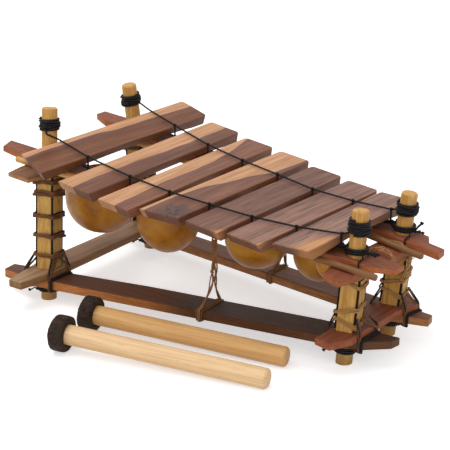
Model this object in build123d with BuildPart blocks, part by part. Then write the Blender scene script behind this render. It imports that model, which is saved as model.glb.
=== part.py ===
from build123d import *
import math
import os

# Seven-key balafon on a four-legged stand, with five gourd resonators and two mallets.
# Millimetres. X runs along the row of keys from the longest to the shortest, Y from front
# to back, Z up. The model is drawn about the middle of the stand and is moved as a whole
# by FRAME_SHIFT when it is written, so that the origin is at the middle of the footprint.
FRAME_SHIFT = (-1.25, 37.63, 0)

# Clearances
SEAT = 0.3
HOLE_GAP = 0.25

# Heights of the stand over the left and the right pair of posts, stacked from the floor up
LEFT_X = -189.0
RIGHT_X = 199.5
RAIL_HEIGHT = (16.5, 21.0)
RAIL_THICK = (11.0, 9.6)
LOW_CROSS_THICK = (9.5, 8.0)
LEG_HEIGHT = (114.4, 64.2)
TOP_CROSS_THICK = (5.2, 9.5)
FRONT_PLANK_THICK = 7.0
BACK_PLANK_THICK = 8.0
BOARD_EDGE = 0.8


def sloped(heights):
    """Plane through a height over the left posts and a height over the right posts."""
    run = RIGHT_X - LEFT_X
    rise = heights[1] - heights[0]
    return Plane(origin=(LEFT_X, 0, heights[0]), x_dir=(run, 0, rise), z_dir=(-rise, 0, run))


def stacked(below, thick):
    """Heights of a layer's upper face over the left and the right posts."""
    return tuple(low + deep for low, deep in zip(below, thick))


def height_at(heights, x):
    """Height of a sloped plane at x."""
    share = (x - LEFT_X) / (RIGHT_X - LEFT_X)
    return heights[0] + share * (heights[1] - heights[0])


RAIL_TOP = stacked(RAIL_HEIGHT, RAIL_THICK)
LOW_CROSS_TOP = stacked(RAIL_TOP, LOW_CROSS_THICK)
TOP_CROSS_UNDER = stacked(LOW_CROSS_TOP, LEG_HEIGHT)
DECK_LEVEL = stacked(TOP_CROSS_UNDER, TOP_CROSS_THICK)

# Posts: foot at z = 0 and the middle of the top end, which stands above the deck
POST_R = 9.0
POST_TOP_CHAMFER = 1.2
POST_ABOVE = {"front_left": 64.5, "back_left": 61.3, "front_right": 56.7, "back_right": 53.6}
POSTS = {
    "front_left": ((-175.5, -102.3, 0), (-190.4, -75.0, DECK_LEVEL[0] + POST_ABOVE["front_left"])),
    "back_left": ((-184.0, 103.0, 0), (-195.4, 74.0, DECK_LEVEL[0] + POST_ABOVE["back_left"])),
    "front_right": ((191.9, -46.6, 0), (198.4, -36.0, DECK_LEVEL[1] + POST_ABOVE["front_right"])),
    "back_right": ((192.1, 46.4, 0), (206.9, 53.0, DECK_LEVEL[1] + POST_ABOVE["back_right"])),
}

# Outlines of the boards seen from above
FRONT_RAIL = [
    (-234, -97.6), (-232, -115.6), (-190, -119.0), (192, -58), (214, -52),
    (239, -30), (241, -17), (149.6, -23.7), (-59.3, -59),
]
BACK_RAIL = [
    (-222, 118), (-228, 94), (-184, 86), (192, 30), (243, 44), (241, 57), (190, 65),
    (-184, 117),
]
LOW_LEFT_CROSS = [
    (-187.5, -155), (-169.8, -155), (-162.5, -110), (-170, 130), (-199.5, 130), (-197.7, -100),
]
LOW_RIGHT_CROSS = [
    (178.5, -85.8), (199, -90.5), (211.5, -66), (214, 26), (223, 57), (197, 84), (180, 66),
]
TOP_LEFT_CROSS = [
    (-199, -137.3), (-172, -134.7), (-168.5, -108), (-174, 112), (-208, 112),
    (-202.7, -113.6),
]
TOP_RIGHT_CROSS = [
    (186.4, -86.5), (205.5, -90), (213, -60), (221, 78), (189, 80), (182, -62),
]
FRONT_PLANK = [
    (-254, -74), (-246.6, -95), (-200, -99.5), (220, -52), (242, -36.5), (243, -20),
]
BACK_PLANK = [
    (-249, 92), (-249, 76), (-228, 66), (256.5, 31.0), (254.8, 47), (235.5, 49),
    (227, 64.6), (-192, 97.5),
]

# Canes that lie on the top cross rails beside the planks: both ends in plan
CANE_R = 3.5
FRONT_CANE = ((-214.6, -106.8), (235.7, -64.5))
BACK_CANE = ((-214.0, 50.5), (243.6, 19.0))

# Split-cane cladding of the legs, its corner cords and its bark ties
LEG_TURN = 9.8
SLAT_WIDTH = 18.0
SLAT_THICK = 2.2
CORNER_CORD_R = 1.0
CORNER_CORD_AT = 10.6
TIE_THICK = 1.4
# Ties: how far up the leg each one is, as a share of the leg, and how tall it is
TIES = {
    "front_left": [(0.874, 4.5), (0.76, 5.5), (0.533, 4.0), (0.332, 4.0), (0.131, 4.5)],
    "back_left": [(0.892, 4.0), (0.708, 5.0), (0.507, 4.0), (0.315, 4.0), (0.114, 4.5)],
    "front_right": [(0.832, 4.0), (0.364, 4.5), (0.162, 5.0)],
    "back_right": [(0.863, 3.5), (0.645, 4.0), (0.442, 4.5), (0.24, 4.5)],
}

# Line of the key tops: where the cords bend between keys, as x and height above the deck
PITCH = 0.012
PITCH_FROM = -75.0
KEYS_ABOVE = [
    (-180.0, 31.43), (-131.6, 22.25), (-68.2, 19.97), (-13.5, 19.31),
    (35.4, 19.39), (86.0, 19.96), (135.0, 21.65), (182.3, 26.14),
]
DECK = [(x, height_at(DECK_LEVEL, x) + above) for x, above in KEYS_ABOVE]
KEY_DROP = 0.4

# Keys: middle of the near end, middle of the far end, width, skew of the near end
KEYS = [
    ((-156.0, -145.9), (-149.6, 148.2), 41.2, 5.0),
    ((-90.9, -151.3), (-92.2, 134.1), 43.2, 0.0),
    ((-36.0, -152.4), (-35.8, 126.4), 41.0, 0.0),
    ((10.3, -133.5), (17.4, 123.4), 42.6, -5.5),
    ((61.1, -127.3), (69.2, 110.9), 42.0, 0.0),
    ((109.1, -121.9), (121.6, 103.9), 41.0, 0.0),
    ((157.4, -106.7), (167.2, 98.2), 41.0, -2.5),
]
KEY_THICK = 11.5
KEY_ARCH = 4.0
KEY_ARCH_END = 25.0
KEY_UNDERCUT = 9.0
KEY_FAR_ROUND = 5.0
KEY_EDGE = 1.2
KEY_AT_CORD = 9.7
KEY_LIFT = 1.0

# Suspension cords: plan position of each bend, beside each key's right-hand edge
CORD_R = 1.0
TIGHT_BEND = 40.0
FRONT_BENDS = [
    (-131.6, -78.4), (-68.2, -82.0), (-13.5, -81.6), (35.4, -76.0),
    (86.0, -69.4), (135.0, -58.4), (182.3, -46.4),
]
BACK_BENDS = [
    (-129.6, 80.8), (-68.5, 64.8), (-13.5, 57.0), (38.2, 52.5),
    (89.6, 45.4), (140.8, 47.0), (187.2, 49.8),
]

# Wound cord on the posts: height of the lowest turn above the deck, turns
WIND_R = 1.0
WIND_PITCH = 2.5
POST_LASHINGS = {
    "front_left": (39.4, 5),
    "back_left": (36.4, 5),
    "front_right": (31.2, 6),
    "back_right": (29.7, 5),
}
RING_LASHINGS = {"front_right": 2.5, "back_right": 2.5}
RING_ABOVE_PLANK = 4.6
FOOT_LASHING_TURNS = 2
FOOT_LASHING_BELOW = 5.8

# Gourd bowls: centre in plan, its depth below the deck, radius, and the height of the rim
# above the centre as part of the radius
GOURD_WALL = 2.5
GOURD_RIM = 0.7
HUNG_GOURDS = [
    (-168.1, -12.0, 52.0, 44.3),
    (-73.6, -5.0, 52.7, 38.3),
    (50.5, -5.0, 30.7, 37.4),
    (116.5, 22.0, 38.2, 30.5),
    (160.4, -24.0, 18.3, 18.6),
]
GOURDS = [((x, y, height_at(DECK_LEVEL, x) - depth), r) for x, y, depth, r in HUNG_GOURDS]
GOURD_HOLE_R = 1.5
HANGER_R = 0.9
HANGER_KNOT_R = 2.0
HANGER_HOLE_DROP = 6.0

# Middle lines of the planks, where the hangers are tied, in plan
FRONT_MIDDLE = ((-186.0, -83.5), (196.0, -39.7))
BACK_MIDDLE = ((-192.0, 82.0), (203.0, 51.1))

# Where the suspension cords leave the left posts
LOWER_CORD_FROM = -176.0
FRONT_LEAD = ((-183.5, -90.3), (-174.5, -79.0))
BACK_LEAD = ((-182.6, 78.8), (-170.5, 82.6))
FRONT_LEAD_ABOVE = 37.9
BACK_LEAD_ABOVE = 39.4

# Twine ties: where each leaves its plank, and x where it goes round the rail
TWINE_R = 1.2
TWINE_HALF_GAP = 1.6
TWINE_CLEAR = 0.5
FRONT_TWINE = ((32.0, -60.5), 27.0)
BACK_TWINE = ((44.0, 63.0), 30.0)

# Mallets: head centre in plan, handle end in plan
HEAD_R = 20.0
HEAD_WIDTH = 17.0
HEAD_ROUND = 4.5
HANDLE_R = 11.0
HANDLE_ROUND = 4.0
FRONT_MALLET = ((-65.3, -203.4), (163.5, -148.0))
BACK_MALLET = ((-74.5, -145.0), (150.7, -93.0))


def post_plane(name, turn=0.0):
    """Plane at a post's foot, its Z along the post, turned about it by turn degrees."""
    foot, top = POSTS[name]
    along = Vector(*top) - Vector(*foot)
    across = (math.cos(math.radians(turn)), math.sin(math.radians(turn)), 0)
    return Plane(origin=foot, x_dir=across, z_dir=along)


def post_point(name, z):
    """Point of a post's axis at height z."""
    foot, top = POSTS[name]
    share = z / top[2]
    return tuple(a + share * (b - a) for a, b in zip(foot, top))


def along_post(name, z):
    """Distance along a post's axis from its foot to height z."""
    foot, top = POSTS[name]
    return z * (Vector(*top) - Vector(*foot)).length / top[2]


def board(outline, under, over, posts):
    """A flat hand-cut board between two planes, pierced by its posts."""
    with BuildPart() as piece:
        with BuildSketch(Plane.XY.offset(-40)):
            with BuildLine():
                Polyline(*outline, close=True)
            make_face()
        extrude(amount=300)
        split(bisect_by=under, keep=Keep.TOP)
        split(bisect_by=over, keep=Keep.BOTTOM)
        flats = piece.faces().sort_by(SortBy.AREA)[-2:]
        chamfer(flats.edges(), length=BOARD_EDGE)
        for name in posts:
            with BuildSketch(post_plane(name).offset(-20)):
                Circle(POST_R + HOLE_GAP)
            extrude(amount=300, mode=Mode.SUBTRACT)
    return piece.part


def post(name):
    """A round post, cut flat at the floor and square at its top."""
    foot, top = POSTS[name]
    with BuildPart() as piece:
        with BuildSketch(post_plane(name).offset(-10)):
            Circle(POST_R)
        extrude(amount=along_post(name, top[2]) + 10)
        split(bisect_by=Plane.XY, keep=Keep.TOP)
        rim = piece.faces().sort_by(Axis.Z)[-1].edges()
        chamfer(rim, length=POST_TOP_CHAMFER)
    return piece.part


def between_cross_rails(piece_gap):
    """Planes just inside the low cross rails' tops and the top cross rails' undersides."""
    return sloped(LOW_CROSS_TOP).offset(piece_gap), sloped(TOP_CROSS_UNDER).offset(-piece_gap)


def side_of(name):
    """Index of a post's side in the heights: 0 for left, 1 for right."""
    return 0 if name.endswith("left") else 1


def leg_height_at(name, share):
    """Height at a share of the way up a leg, between the cross rails."""
    side = side_of(name)
    return LOW_CROSS_TOP[side] + share * LEG_HEIGHT[side]


def leg_slats(name):
    """Four flat slats boxed round a post between the cross rails."""
    low, high = between_cross_rails(SEAT)
    middle = POST_R + SEAT + SLAT_THICK / 2
    with BuildPart() as piece:
        with BuildSketch(post_plane(name, LEG_TURN)):
            with PolarLocations(middle, 4):
                Rectangle(SLAT_THICK, SLAT_WIDTH)
        extrude(amount=300)
        split(bisect_by=low, keep=Keep.TOP)
        split(bisect_by=high, keep=Keep.BOTTOM)
    return piece.part


def leg_corner_cords(name):
    """Four cords that run up the corners of the cladding."""
    low, high = between_cross_rails(SEAT)
    with BuildPart() as piece:
        with BuildSketch(post_plane(name, LEG_TURN)):
            with GridLocations(2 * CORNER_CORD_AT, 2 * CORNER_CORD_AT, 2, 2):
                Circle(CORNER_CORD_R)
        extrude(amount=300)
        split(bisect_by=low, keep=Keep.TOP)
        split(bisect_by=high, keep=Keep.BOTTOM)
    return piece.part


def leg_ties(name):
    """Flat bark bands round the cladding and its corner cords."""
    inner = CORNER_CORD_AT + CORNER_CORD_R + SEAT
    inner_round = CORNER_CORD_R + SEAT
    with BuildPart() as piece:
        for share, tall in TIES[name]:
            start = along_post(name, leg_height_at(name, share)) - tall / 2
            with BuildSketch(post_plane(name, LEG_TURN).offset(start)):
                side = 2 * (inner + TIE_THICK)
                RectangleRounded(side, side, inner_round + TIE_THICK)
                RectangleRounded(2 * inner, 2 * inner, inner_round, mode=Mode.SUBTRACT)
            extrude(amount=tall)
    return piece.part


def cane(ends):
    """A thin round cane that lies on the top cross rails."""
    points = []
    for x, y in ends:
        points.append(Vector(x, y, height_at(DECK_LEVEL, x) + CANE_R + SEAT))
    line = Plane(origin=points[0], z_dir=points[1] - points[0])
    with BuildPart() as piece:
        with BuildSketch(line):
            Circle(CANE_R)
        extrude(amount=(points[1] - points[0]).length)
        chamfer(piece.edges().filter_by(GeomType.CIRCLE), length=CANE_R / 3)
    return piece.part


def deck_height(x, y):
    """Height of the line of key tops at a point in plan."""
    left, right = DECK[0], DECK[1]
    for start, end in zip(DECK, DECK[1:]):
        if x >= start[0]:
            left, right = start, end
    slope = (right[1] - left[1]) / (right[0] - left[0])
    return left[1] + slope * (x - left[0]) + PITCH * (y - PITCH_FROM)


def key_plane(index):
    """Plane of a key's top: origin at its middle, X across it, Y along it."""
    near, far, width, skew = KEYS[index]
    start, end = DECK[index], DECK[index + 1]
    slope = (end[1] - start[1]) / (end[0] - start[0])
    x = (near[0] + far[0]) / 2
    y = (near[1] + far[1]) / 2
    z = start[1] + slope * (x - start[0]) + PITCH * (y - PITCH_FROM) - KEY_DROP
    run = far[0] - near[0]
    reach = far[1] - near[1]
    along = Vector(run, reach, slope * run + PITCH * reach)
    normal = Vector(-slope, -PITCH, 1)
    return Plane(origin=(x, y, z), x_dir=along.cross(normal), z_dir=normal), along.length


def key(index):
    """A wooden bar, arched underneath, undercut at its near end."""
    frame, length = key_plane(index)
    width, skew = KEYS[index][2:]
    half = length / 2
    side = Plane(origin=frame.origin, x_dir=frame.y_dir, z_dir=frame.x_dir)
    arch = half - KEY_ARCH_END
    spare = abs(skew) + 5
    edge = Vector(width, -2 * skew, 0)
    slant = Vector(0, KEY_UNDERCUT, -KEY_THICK)
    near_origin = frame.from_local_coords(Vector(0, -half, 0))
    near_normal = frame.from_local_coords(edge.cross(slant)) - frame.origin
    with BuildPart() as piece:
        with BuildSketch(side):
            with BuildLine():
                Polyline(
                    (-arch, -KEY_THICK), (-half - spare, -KEY_THICK), (-half - spare, 0),
                    (half, 0), (half, -KEY_THICK), (arch, -KEY_THICK),
                )
                ThreePointArc(
                    (arch, -KEY_THICK), (0, KEY_ARCH - KEY_THICK), (-arch, -KEY_THICK)
                )
            make_face()
        extrude(amount=width / 2, both=True)
        with BuildSketch(frame) as plan:
            with Locations((0, -spare)):
                Rectangle(width, length + 2 * spare)
            fillet(plan.vertices().group_by(Axis.Y)[-1], radius=KEY_FAR_ROUND)
        extrude(amount=-2 * KEY_THICK, mode=Mode.INTERSECT)
        split(bisect_by=Plane(origin=near_origin, z_dir=near_normal), keep=Keep.TOP)
        top = piece.faces().sort_by(SortBy.AREA)[-2:].sort_by(Axis.Z)[-1]
        fillet(top.edges(), radius=KEY_EDGE)
    return piece.part


def tube(points, tube_radius, bends):
    """A cord along straight runs joined by arcs."""
    with BuildPart() as piece:
        with BuildLine() as path:
            FilletPolyline(*points, radius=bends)
        route = path.wires()[0]
        with BuildSketch(Plane(origin=route @ 0, z_dir=route % 0)):
            Circle(tube_radius)
        sweep(path=route)
    expected = math.pi * tube_radius**2 * route.length
    print("  volume over section times length", round(piece.part.volume / expected, 4))
    return piece.part


def eased(points, share=0.45):
    """Arc radius at each corner: a share of the shorter run over the tangent of half the turn."""
    spots = [Vector(*p) for p in points]
    radii = []
    for before, here, after in zip(spots, spots[1:], spots[2:]):
        turn = math.radians((here - before).get_angle(after - here))
        shorter = min((here - before).length, (after - here).length)
        radii.append(share * shorter / math.tan(turn / 2))
    print("  radii", [round(r, 1) for r in radii])
    return radii


def self_gap(route, tube_radius):
    """Least gap between two turns of a wound cord, measured on points of its line."""
    count = int(route.length)
    spots = [tuple(route @ (step / count)) for step in range(count + 1)]
    apart = int(3 * math.pi * tube_radius)
    least = min(
        math.dist(a, b) for i, a in enumerate(spots) for b in spots[i + apart:]
    )
    return least - 2 * tube_radius


def winding(name, z, turns):
    """A cord wound round a post in one unbroken helix with straight ends."""
    radius = POST_R + SEAT + WIND_R
    frame = post_plane(name).offset(along_post(name, z))
    rise = WIND_PITCH / (2 * math.pi)
    count = int(round(4 * turns))
    spots, tangents = [], []
    for step in range(count + 1):
        angle = step * math.pi / 2
        spots.append(Vector(radius * math.cos(angle), radius * math.sin(angle), rise * angle))
        heading = Vector(-radius * math.sin(angle), radius * math.cos(angle), rise)
        tangents.append(heading.normalized())
    with BuildPart() as piece:
        with BuildLine(Plane.XY) as path:
            Line(spots[0] - tangents[0] * 2 * WIND_R, spots[0])
            for a, b, head, tail in zip(spots, spots[1:], tangents, tangents[1:]):
                both = head + tail
                span = b - a
                spare = 4 - both.length**2
                lean = span.dot(both)
                reach = (math.sqrt(lean**2 + spare * span.length**2) - lean) / spare
                first = a + head * reach
                second = b - tail * reach
                halfway = (first + second) * 0.5
                TangentArc(a, halfway, tangent=head)
                TangentArc(halfway, b, tangent=second - first)
            Line(spots[-1], spots[-1] + tangents[-1] * 2 * WIND_R)
        route = path.wires()[0]
        print(f"  {name}: least gap between turns", round(self_gap(route, WIND_R), 2))
        with BuildSketch(Plane(origin=route @ 0, z_dir=route % 0)):
            Circle(WIND_R)
        sweep(path=route)
    return frame.from_local_coords(piece.part)


def toward(origin, target, distance):
    """Point at a distance from origin on the level line toward target."""
    run = Vector(target[0] - origin[0], target[1] - origin[1], 0)
    step = run.normalized() * distance
    return (origin[0] + step.X, origin[1] + step.Y)


def cord_height(x, y, side):
    """Centre height of the upper (side 1) or lower (side -1) suspension cord."""
    steep = 0.0
    for start, end in zip(DECK, DECK[1:]):
        if start[0] - 8 <= x <= end[0] + 8:
            steep = max(steep, abs(end[1] - start[1]) / (end[0] - start[0]))
    lean = math.sqrt(1 + steep**2)
    surface = deck_height(x, y) - KEY_DROP
    if side > 0:
        return surface + KEY_LIFT + (SEAT + CORD_R) * lean
    return surface - (KEY_AT_CORD + SEAT + CORD_R) * lean


def together(pieces):
    """Separate pieces as one group."""
    with BuildPart() as group:
        add(pieces)
    return group.part


def suspension(bends, left_post, right_post, lead_in):
    """Upper cord, lower cord and the links between keys on one side of the row."""
    over_r = POST_R + 2 * SEAT + 2 * WIND_R
    upper = list(lead_in)
    upper += [(x, y, cord_height(x, y, 1)) for x, y in bends]
    axis = post_point(right_post, upper[-1][2])
    end = toward(axis, bends[-1], over_r + SEAT)
    upper.append((*end, upper[-1][2]))
    low_start_z = cord_height(LOWER_CORD_FROM, bends[0][1], -1)
    axis = post_point(left_post, low_start_z)
    start = toward(axis, bends[0], POST_R + SEAT)
    lower = [(*start, low_start_z)]
    lower += [(x, y, cord_height(x, y, -1)) for x, y in bends]
    axis = post_point(right_post, lower[-1][2])
    end = toward(axis, bends[-1], over_r + SEAT)
    lower.append((*end, lower[-1][2]))
    pieces = []
    for route in (upper, lower):
        bent = [min(radius, TIGHT_BEND) for radius in eased(route)]
        pieces.append(tube(route, CORD_R, bent))
    for x, y in bends:
        top = cord_height(x, y, 1) - CORD_R - SEAT
        bottom = cord_height(x, y, -1) + CORD_R + SEAT
        with BuildPart() as link:
            with BuildSketch(Plane.XY.offset(bottom)):
                with Locations((x, y)):
                    Circle(CORD_R)
            extrude(amount=top - bottom)
        pieces.append(link.part)
    return together(pieces)


def gourd(centre, radius):
    """An open bowl with two holes below its rim for the hangers."""
    rim = radius * GOURD_RIM
    hole_z = rim - HANGER_HOLE_DROP
    upright = Plane(origin=centre, x_dir=(1, 0, 0), z_dir=(0, -1, 0))
    with BuildPart() as piece:
        with BuildSketch(upright):
            Circle(radius)
            Circle(radius - GOURD_WALL, mode=Mode.SUBTRACT)
            with Locations((-2 * radius, 0)):
                Rectangle(4 * radius, 4 * radius, mode=Mode.SUBTRACT)
            with Locations((0, rim + 2 * radius)):
                Rectangle(4 * radius, 4 * radius, mode=Mode.SUBTRACT)
        revolve(axis=Axis(centre, (0, 0, 1)))
        with BuildSketch(upright.offset(-2 * radius)):
            with Locations((0, hole_z)):
                Circle(GOURD_HOLE_R)
        extrude(amount=4 * radius, mode=Mode.SUBTRACT)
    return piece.part


def plank_line(ends, x):
    """Depth of a line in plan at x."""
    (x0, y0), (x1, y1) = ends
    return y0 + (y1 - y0) * (x - x0) / (x1 - x0)


def hangers(centre, radius):
    """Two cords that carry a gourd from the planks, each knotted inside its wall."""
    hole_z = centre[2] + radius * GOURD_RIM - HANGER_HOLE_DROP
    inside = math.sqrt((radius - GOURD_WALL) ** 2 - (hole_z - centre[2]) ** 2)
    outside = math.sqrt(radius**2 - (hole_z - centre[2]) ** 2)
    pieces = []
    for side, middle in ((-1, FRONT_MIDDLE), (1, BACK_MIDDLE)):
        x = centre[0]
        plank_y = plank_line(middle, x)
        plank_z = height_at(DECK_LEVEL, x) - SEAT - HANGER_R
        knot_y = centre[1] + side * (inside - HANGER_KNOT_R - 1.2)
        corner_y = centre[1] + side * (outside + 4.0)
        points = [(x, knot_y, hole_z), (x, corner_y, hole_z), (x, plank_y, plank_z)]
        cord = tube(points, HANGER_R, eased(points, 0.4))
        with BuildPart() as piece:
            add(cord)
            with Locations((x, knot_y, hole_z)):
                Sphere(HANGER_KNOT_R)
        pieces.append(piece.part)
    return pieces


def mallet_frame(ends):
    """Plane at the head's centre with Z along the handle, and the handle's length."""
    head, tip = ends
    run = math.dist(head, tip)
    drop = HEAD_R - HANDLE_R
    lean = math.asin(drop / run)
    corner = HEAD_R - HEAD_ROUND
    base = corner * math.cos(lean) + (HEAD_WIDTH / 2 - HEAD_ROUND) * math.sin(lean) + HEAD_ROUND
    end = Vector(tip[0], tip[1], HANDLE_R / math.cos(lean) + 0.05)
    start = Vector(head[0], head[1], base)
    return Plane(origin=start, z_dir=end - start), (end - start).length


def mallet_handle(ends):
    """A round handle with a softened end."""
    frame, length = mallet_frame(ends)
    with BuildPart() as piece:
        with BuildSketch(frame.offset(1 - HEAD_WIDTH / 2)):
            Circle(HANDLE_R)
        extrude(amount=length + HEAD_WIDTH / 2 - 1)
        far = piece.edges().filter_by(GeomType.CIRCLE).sort_by(Axis.X)[-1]
        fillet(far, radius=HANDLE_ROUND)
    return piece.part


def mallet_head(ends):
    """A thick rubber disc with a bore for the handle."""
    frame, length = mallet_frame(ends)
    with BuildPart() as piece:
        with BuildSketch(frame.offset(-HEAD_WIDTH / 2)):
            Circle(HEAD_R)
        extrude(amount=HEAD_WIDTH)
        fillet(piece.edges().filter_by(GeomType.CIRCLE), radius=HEAD_ROUND)
        with BuildSketch(frame.offset(-HEAD_WIDTH)):
            Circle(HANDLE_R + HOLE_GAP)
        extrude(amount=2 * HEAD_WIDTH, mode=Mode.SUBTRACT)
    return piece.part


def lead_points(spots, above):
    """Start of an upper cord: a point beside the left post and one over the first key."""
    (x0, y0), (x1, y1) = spots
    return [(x0, y0, DECK_LEVEL[0] + above), (x1, y1, cord_height(x1, y1, 1))]


def twine(top, x, edges):
    """A twine that hangs from a plank and wraps a bottom rail between its two edges."""
    out = TWINE_R + SEAT
    front_y = plank_line(edges[0], x) - TWINE_CLEAR - out
    back_y = plank_line(edges[1], x) + TWINE_CLEAR + out
    low = height_at(RAIL_HEIGHT, x) - out
    high = height_at(RAIL_TOP, x) + out
    start_z = height_at(DECK_LEVEL, top[0]) - SEAT
    middle_z = (start_z + high) * 0.6
    points = [
        (top[0] - TWINE_HALF_GAP, top[1], start_z),
        (top[0] - TWINE_HALF_GAP, top[1], middle_z),
        (x, front_y, high),
        (x, front_y, low),
        (x, back_y, low),
        (x, back_y, high),
        (top[0] + TWINE_HALF_GAP, top[1], middle_z),
        (top[0] + TWINE_HALF_GAP, top[1], start_z),
    ]
    radii = eased(points, 0.4)
    for corner in (1, 2, 3, 4):
        radii[corner] = min(radii[corner], 3 * TWINE_R)
    return tube(points, TWINE_R, radii)


def save(part, name):
    """Move a finished piece into the shared frame and write it."""
    placed = part.moved(Location(FRAME_SHIFT))
    placed.label = name
    export_step(placed, f"parts/{name}.step")


os.makedirs("parts", exist_ok=True)

# Posts
for name in POSTS:
    save(post(name), f"post_{name}")

# Boards of the stand
rail_low, rail_high = sloped(RAIL_HEIGHT), sloped(RAIL_TOP)
cross_high = sloped(LOW_CROSS_TOP)
top_low, deck = sloped(TOP_CROSS_UNDER), sloped(DECK_LEVEL)
FRONT_POSTS = ("front_left", "front_right")
BACK_POSTS = ("back_left", "back_right")
LEFT_POSTS = ("front_left", "back_left")
RIGHT_POSTS = ("front_right", "back_right")
save(board(FRONT_RAIL, rail_low, rail_high, FRONT_POSTS), "bottom_rail_front")
save(board(BACK_RAIL, rail_low, rail_high, BACK_POSTS), "bottom_rail_back")
save(board(LOW_LEFT_CROSS, rail_high, cross_high, LEFT_POSTS), "bottom_cross_rail_left")
save(board(LOW_RIGHT_CROSS, rail_high, cross_high, RIGHT_POSTS), "bottom_cross_rail_right")
save(board(TOP_LEFT_CROSS, top_low, deck, LEFT_POSTS), "top_cross_rail_left")
save(board(TOP_RIGHT_CROSS, top_low, deck, RIGHT_POSTS), "top_cross_rail_right")
front_top = deck.offset(FRONT_PLANK_THICK)
back_top = deck.offset(BACK_PLANK_THICK)
save(board(FRONT_PLANK, deck, front_top, FRONT_POSTS), "top_plank_front")
save(board(BACK_PLANK, deck, back_top, BACK_POSTS), "top_plank_back")
save(cane(FRONT_CANE), "cane_front")
save(cane(BACK_CANE), "cane_back")

# Legs
for name in POSTS:
    save(leg_slats(name), f"leg_slats_{name}")
    save(leg_corner_cords(name), f"leg_corner_cords_{name}")
    save(leg_ties(name), f"leg_ties_{name}")

# Keys
for index in range(len(KEYS)):
    save(key(index), f"key_{index + 1}")

# Gourds and their hangers
hanger_pieces = []
for index, (centre, radius) in enumerate(GOURDS):
    save(gourd(centre, radius), f"gourd_{index + 1}")
    hanger_pieces += hangers(centre, radius)
save(together(hanger_pieces), "gourd_hangers")

# Windings on the posts
for name, (above, turns) in POST_LASHINGS.items():
    save(winding(name, DECK_LEVEL[side_of(name)] + above, turns), f"post_lashing_{name}")
for name, turns in RING_LASHINGS.items():
    thick = FRONT_PLANK_THICK if name == "front_right" else BACK_PLANK_THICK
    at_deck = post_point(name, DECK_LEVEL[side_of(name)])
    z = height_at(DECK_LEVEL, at_deck[0]) + thick + RING_ABOVE_PLANK
    save(winding(name, z, turns), f"plank_lashing_{name}")
for name in POSTS:
    z = height_at(RAIL_HEIGHT, POSTS[name][0][0]) - FOOT_LASHING_BELOW - WIND_PITCH
    save(winding(name, z, FOOT_LASHING_TURNS), f"foot_lashing_{name}")

# Suspension cords
front_lead = lead_points(FRONT_LEAD, FRONT_LEAD_ABOVE)
back_lead = lead_points(BACK_LEAD, BACK_LEAD_ABOVE)
save(suspension(FRONT_BENDS, "front_left", "front_right", front_lead), "suspension_front")
save(suspension(BACK_BENDS, "back_left", "back_right", back_lead), "suspension_back")

# Twine between the planks and the bottom rails
front_edges = (FRONT_RAIL[2:4], (FRONT_RAIL[8], FRONT_RAIL[7]))
back_edges = (BACK_RAIL[2:4], (BACK_RAIL[7], BACK_RAIL[6]))
save(twine(*FRONT_TWINE, front_edges), "twine_tie_front")
save(twine(*BACK_TWINE, back_edges), "twine_tie_back")

# Mallets
for name, ends in (("front", FRONT_MALLET), ("back", BACK_MALLET)):
    save(mallet_handle(ends), f"mallet_handle_{name}")
    save(mallet_head(ends), f"mallet_head_{name}")
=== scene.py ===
import logging
import math
from dataclasses import dataclass
from enum import Enum

import bpy
import numpy as np
from mathutils import Matrix, Vector


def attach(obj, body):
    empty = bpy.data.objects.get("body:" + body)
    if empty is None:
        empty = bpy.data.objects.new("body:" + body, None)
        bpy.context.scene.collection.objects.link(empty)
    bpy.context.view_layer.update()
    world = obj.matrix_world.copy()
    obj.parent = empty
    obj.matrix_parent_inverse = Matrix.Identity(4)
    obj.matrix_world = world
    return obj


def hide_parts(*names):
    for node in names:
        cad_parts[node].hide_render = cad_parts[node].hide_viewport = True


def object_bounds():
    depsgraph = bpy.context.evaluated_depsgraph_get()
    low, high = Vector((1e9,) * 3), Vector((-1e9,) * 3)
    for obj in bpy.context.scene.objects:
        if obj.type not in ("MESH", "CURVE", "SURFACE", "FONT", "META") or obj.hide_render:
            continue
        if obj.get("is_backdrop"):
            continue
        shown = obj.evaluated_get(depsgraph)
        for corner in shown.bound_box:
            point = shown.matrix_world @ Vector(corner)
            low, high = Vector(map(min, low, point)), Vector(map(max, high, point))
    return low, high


# A seven-key balafon on a four-legged stand, dressed for pictures. Shapes are worked out
# in millimetres about the middle of the stand and are put into the shared frame, in
# metres, by placed().
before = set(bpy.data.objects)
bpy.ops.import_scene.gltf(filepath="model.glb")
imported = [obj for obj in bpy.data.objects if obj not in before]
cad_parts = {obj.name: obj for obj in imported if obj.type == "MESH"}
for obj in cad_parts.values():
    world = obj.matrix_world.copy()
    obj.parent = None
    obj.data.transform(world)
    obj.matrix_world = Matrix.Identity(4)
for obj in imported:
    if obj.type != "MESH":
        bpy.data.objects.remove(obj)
LOG = logging.getLogger("balafon")
Array = np.ndarray
Colour = tuple[float, float, float, float]

MM = 0.001
SHIFT = np.array([-1.25, 37.63, 0.0])
SEAT = 0.3
UP = (0.0, 0.0, 1.0)


# ---------------------------------------------------------------- shapes on grids


@dataclass(frozen=True)
class Patch:
    """A piece of surface: its points in millimetres, its faces and their run-and-round UV."""

    points: Array
    quads: Array
    quad_uv: Array
    fans: Array
    fan_uv: Array


def placed(points: Array) -> Array:
    """Moves stand millimetres into the shared frame in metres."""
    return (np.asarray(points, float) + SHIFT) * MM


def unit(vectors: Array) -> Array:
    """Vectors scaled to length one."""
    return vectors / np.linalg.norm(vectors, axis=-1, keepdims=True)


def lengths(path: Array) -> Array:
    """Distance walked along a path at each of its points."""
    steps = np.linalg.norm(np.diff(path, axis=0), axis=1)
    return np.concatenate([[0.0], np.cumsum(steps)])


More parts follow.
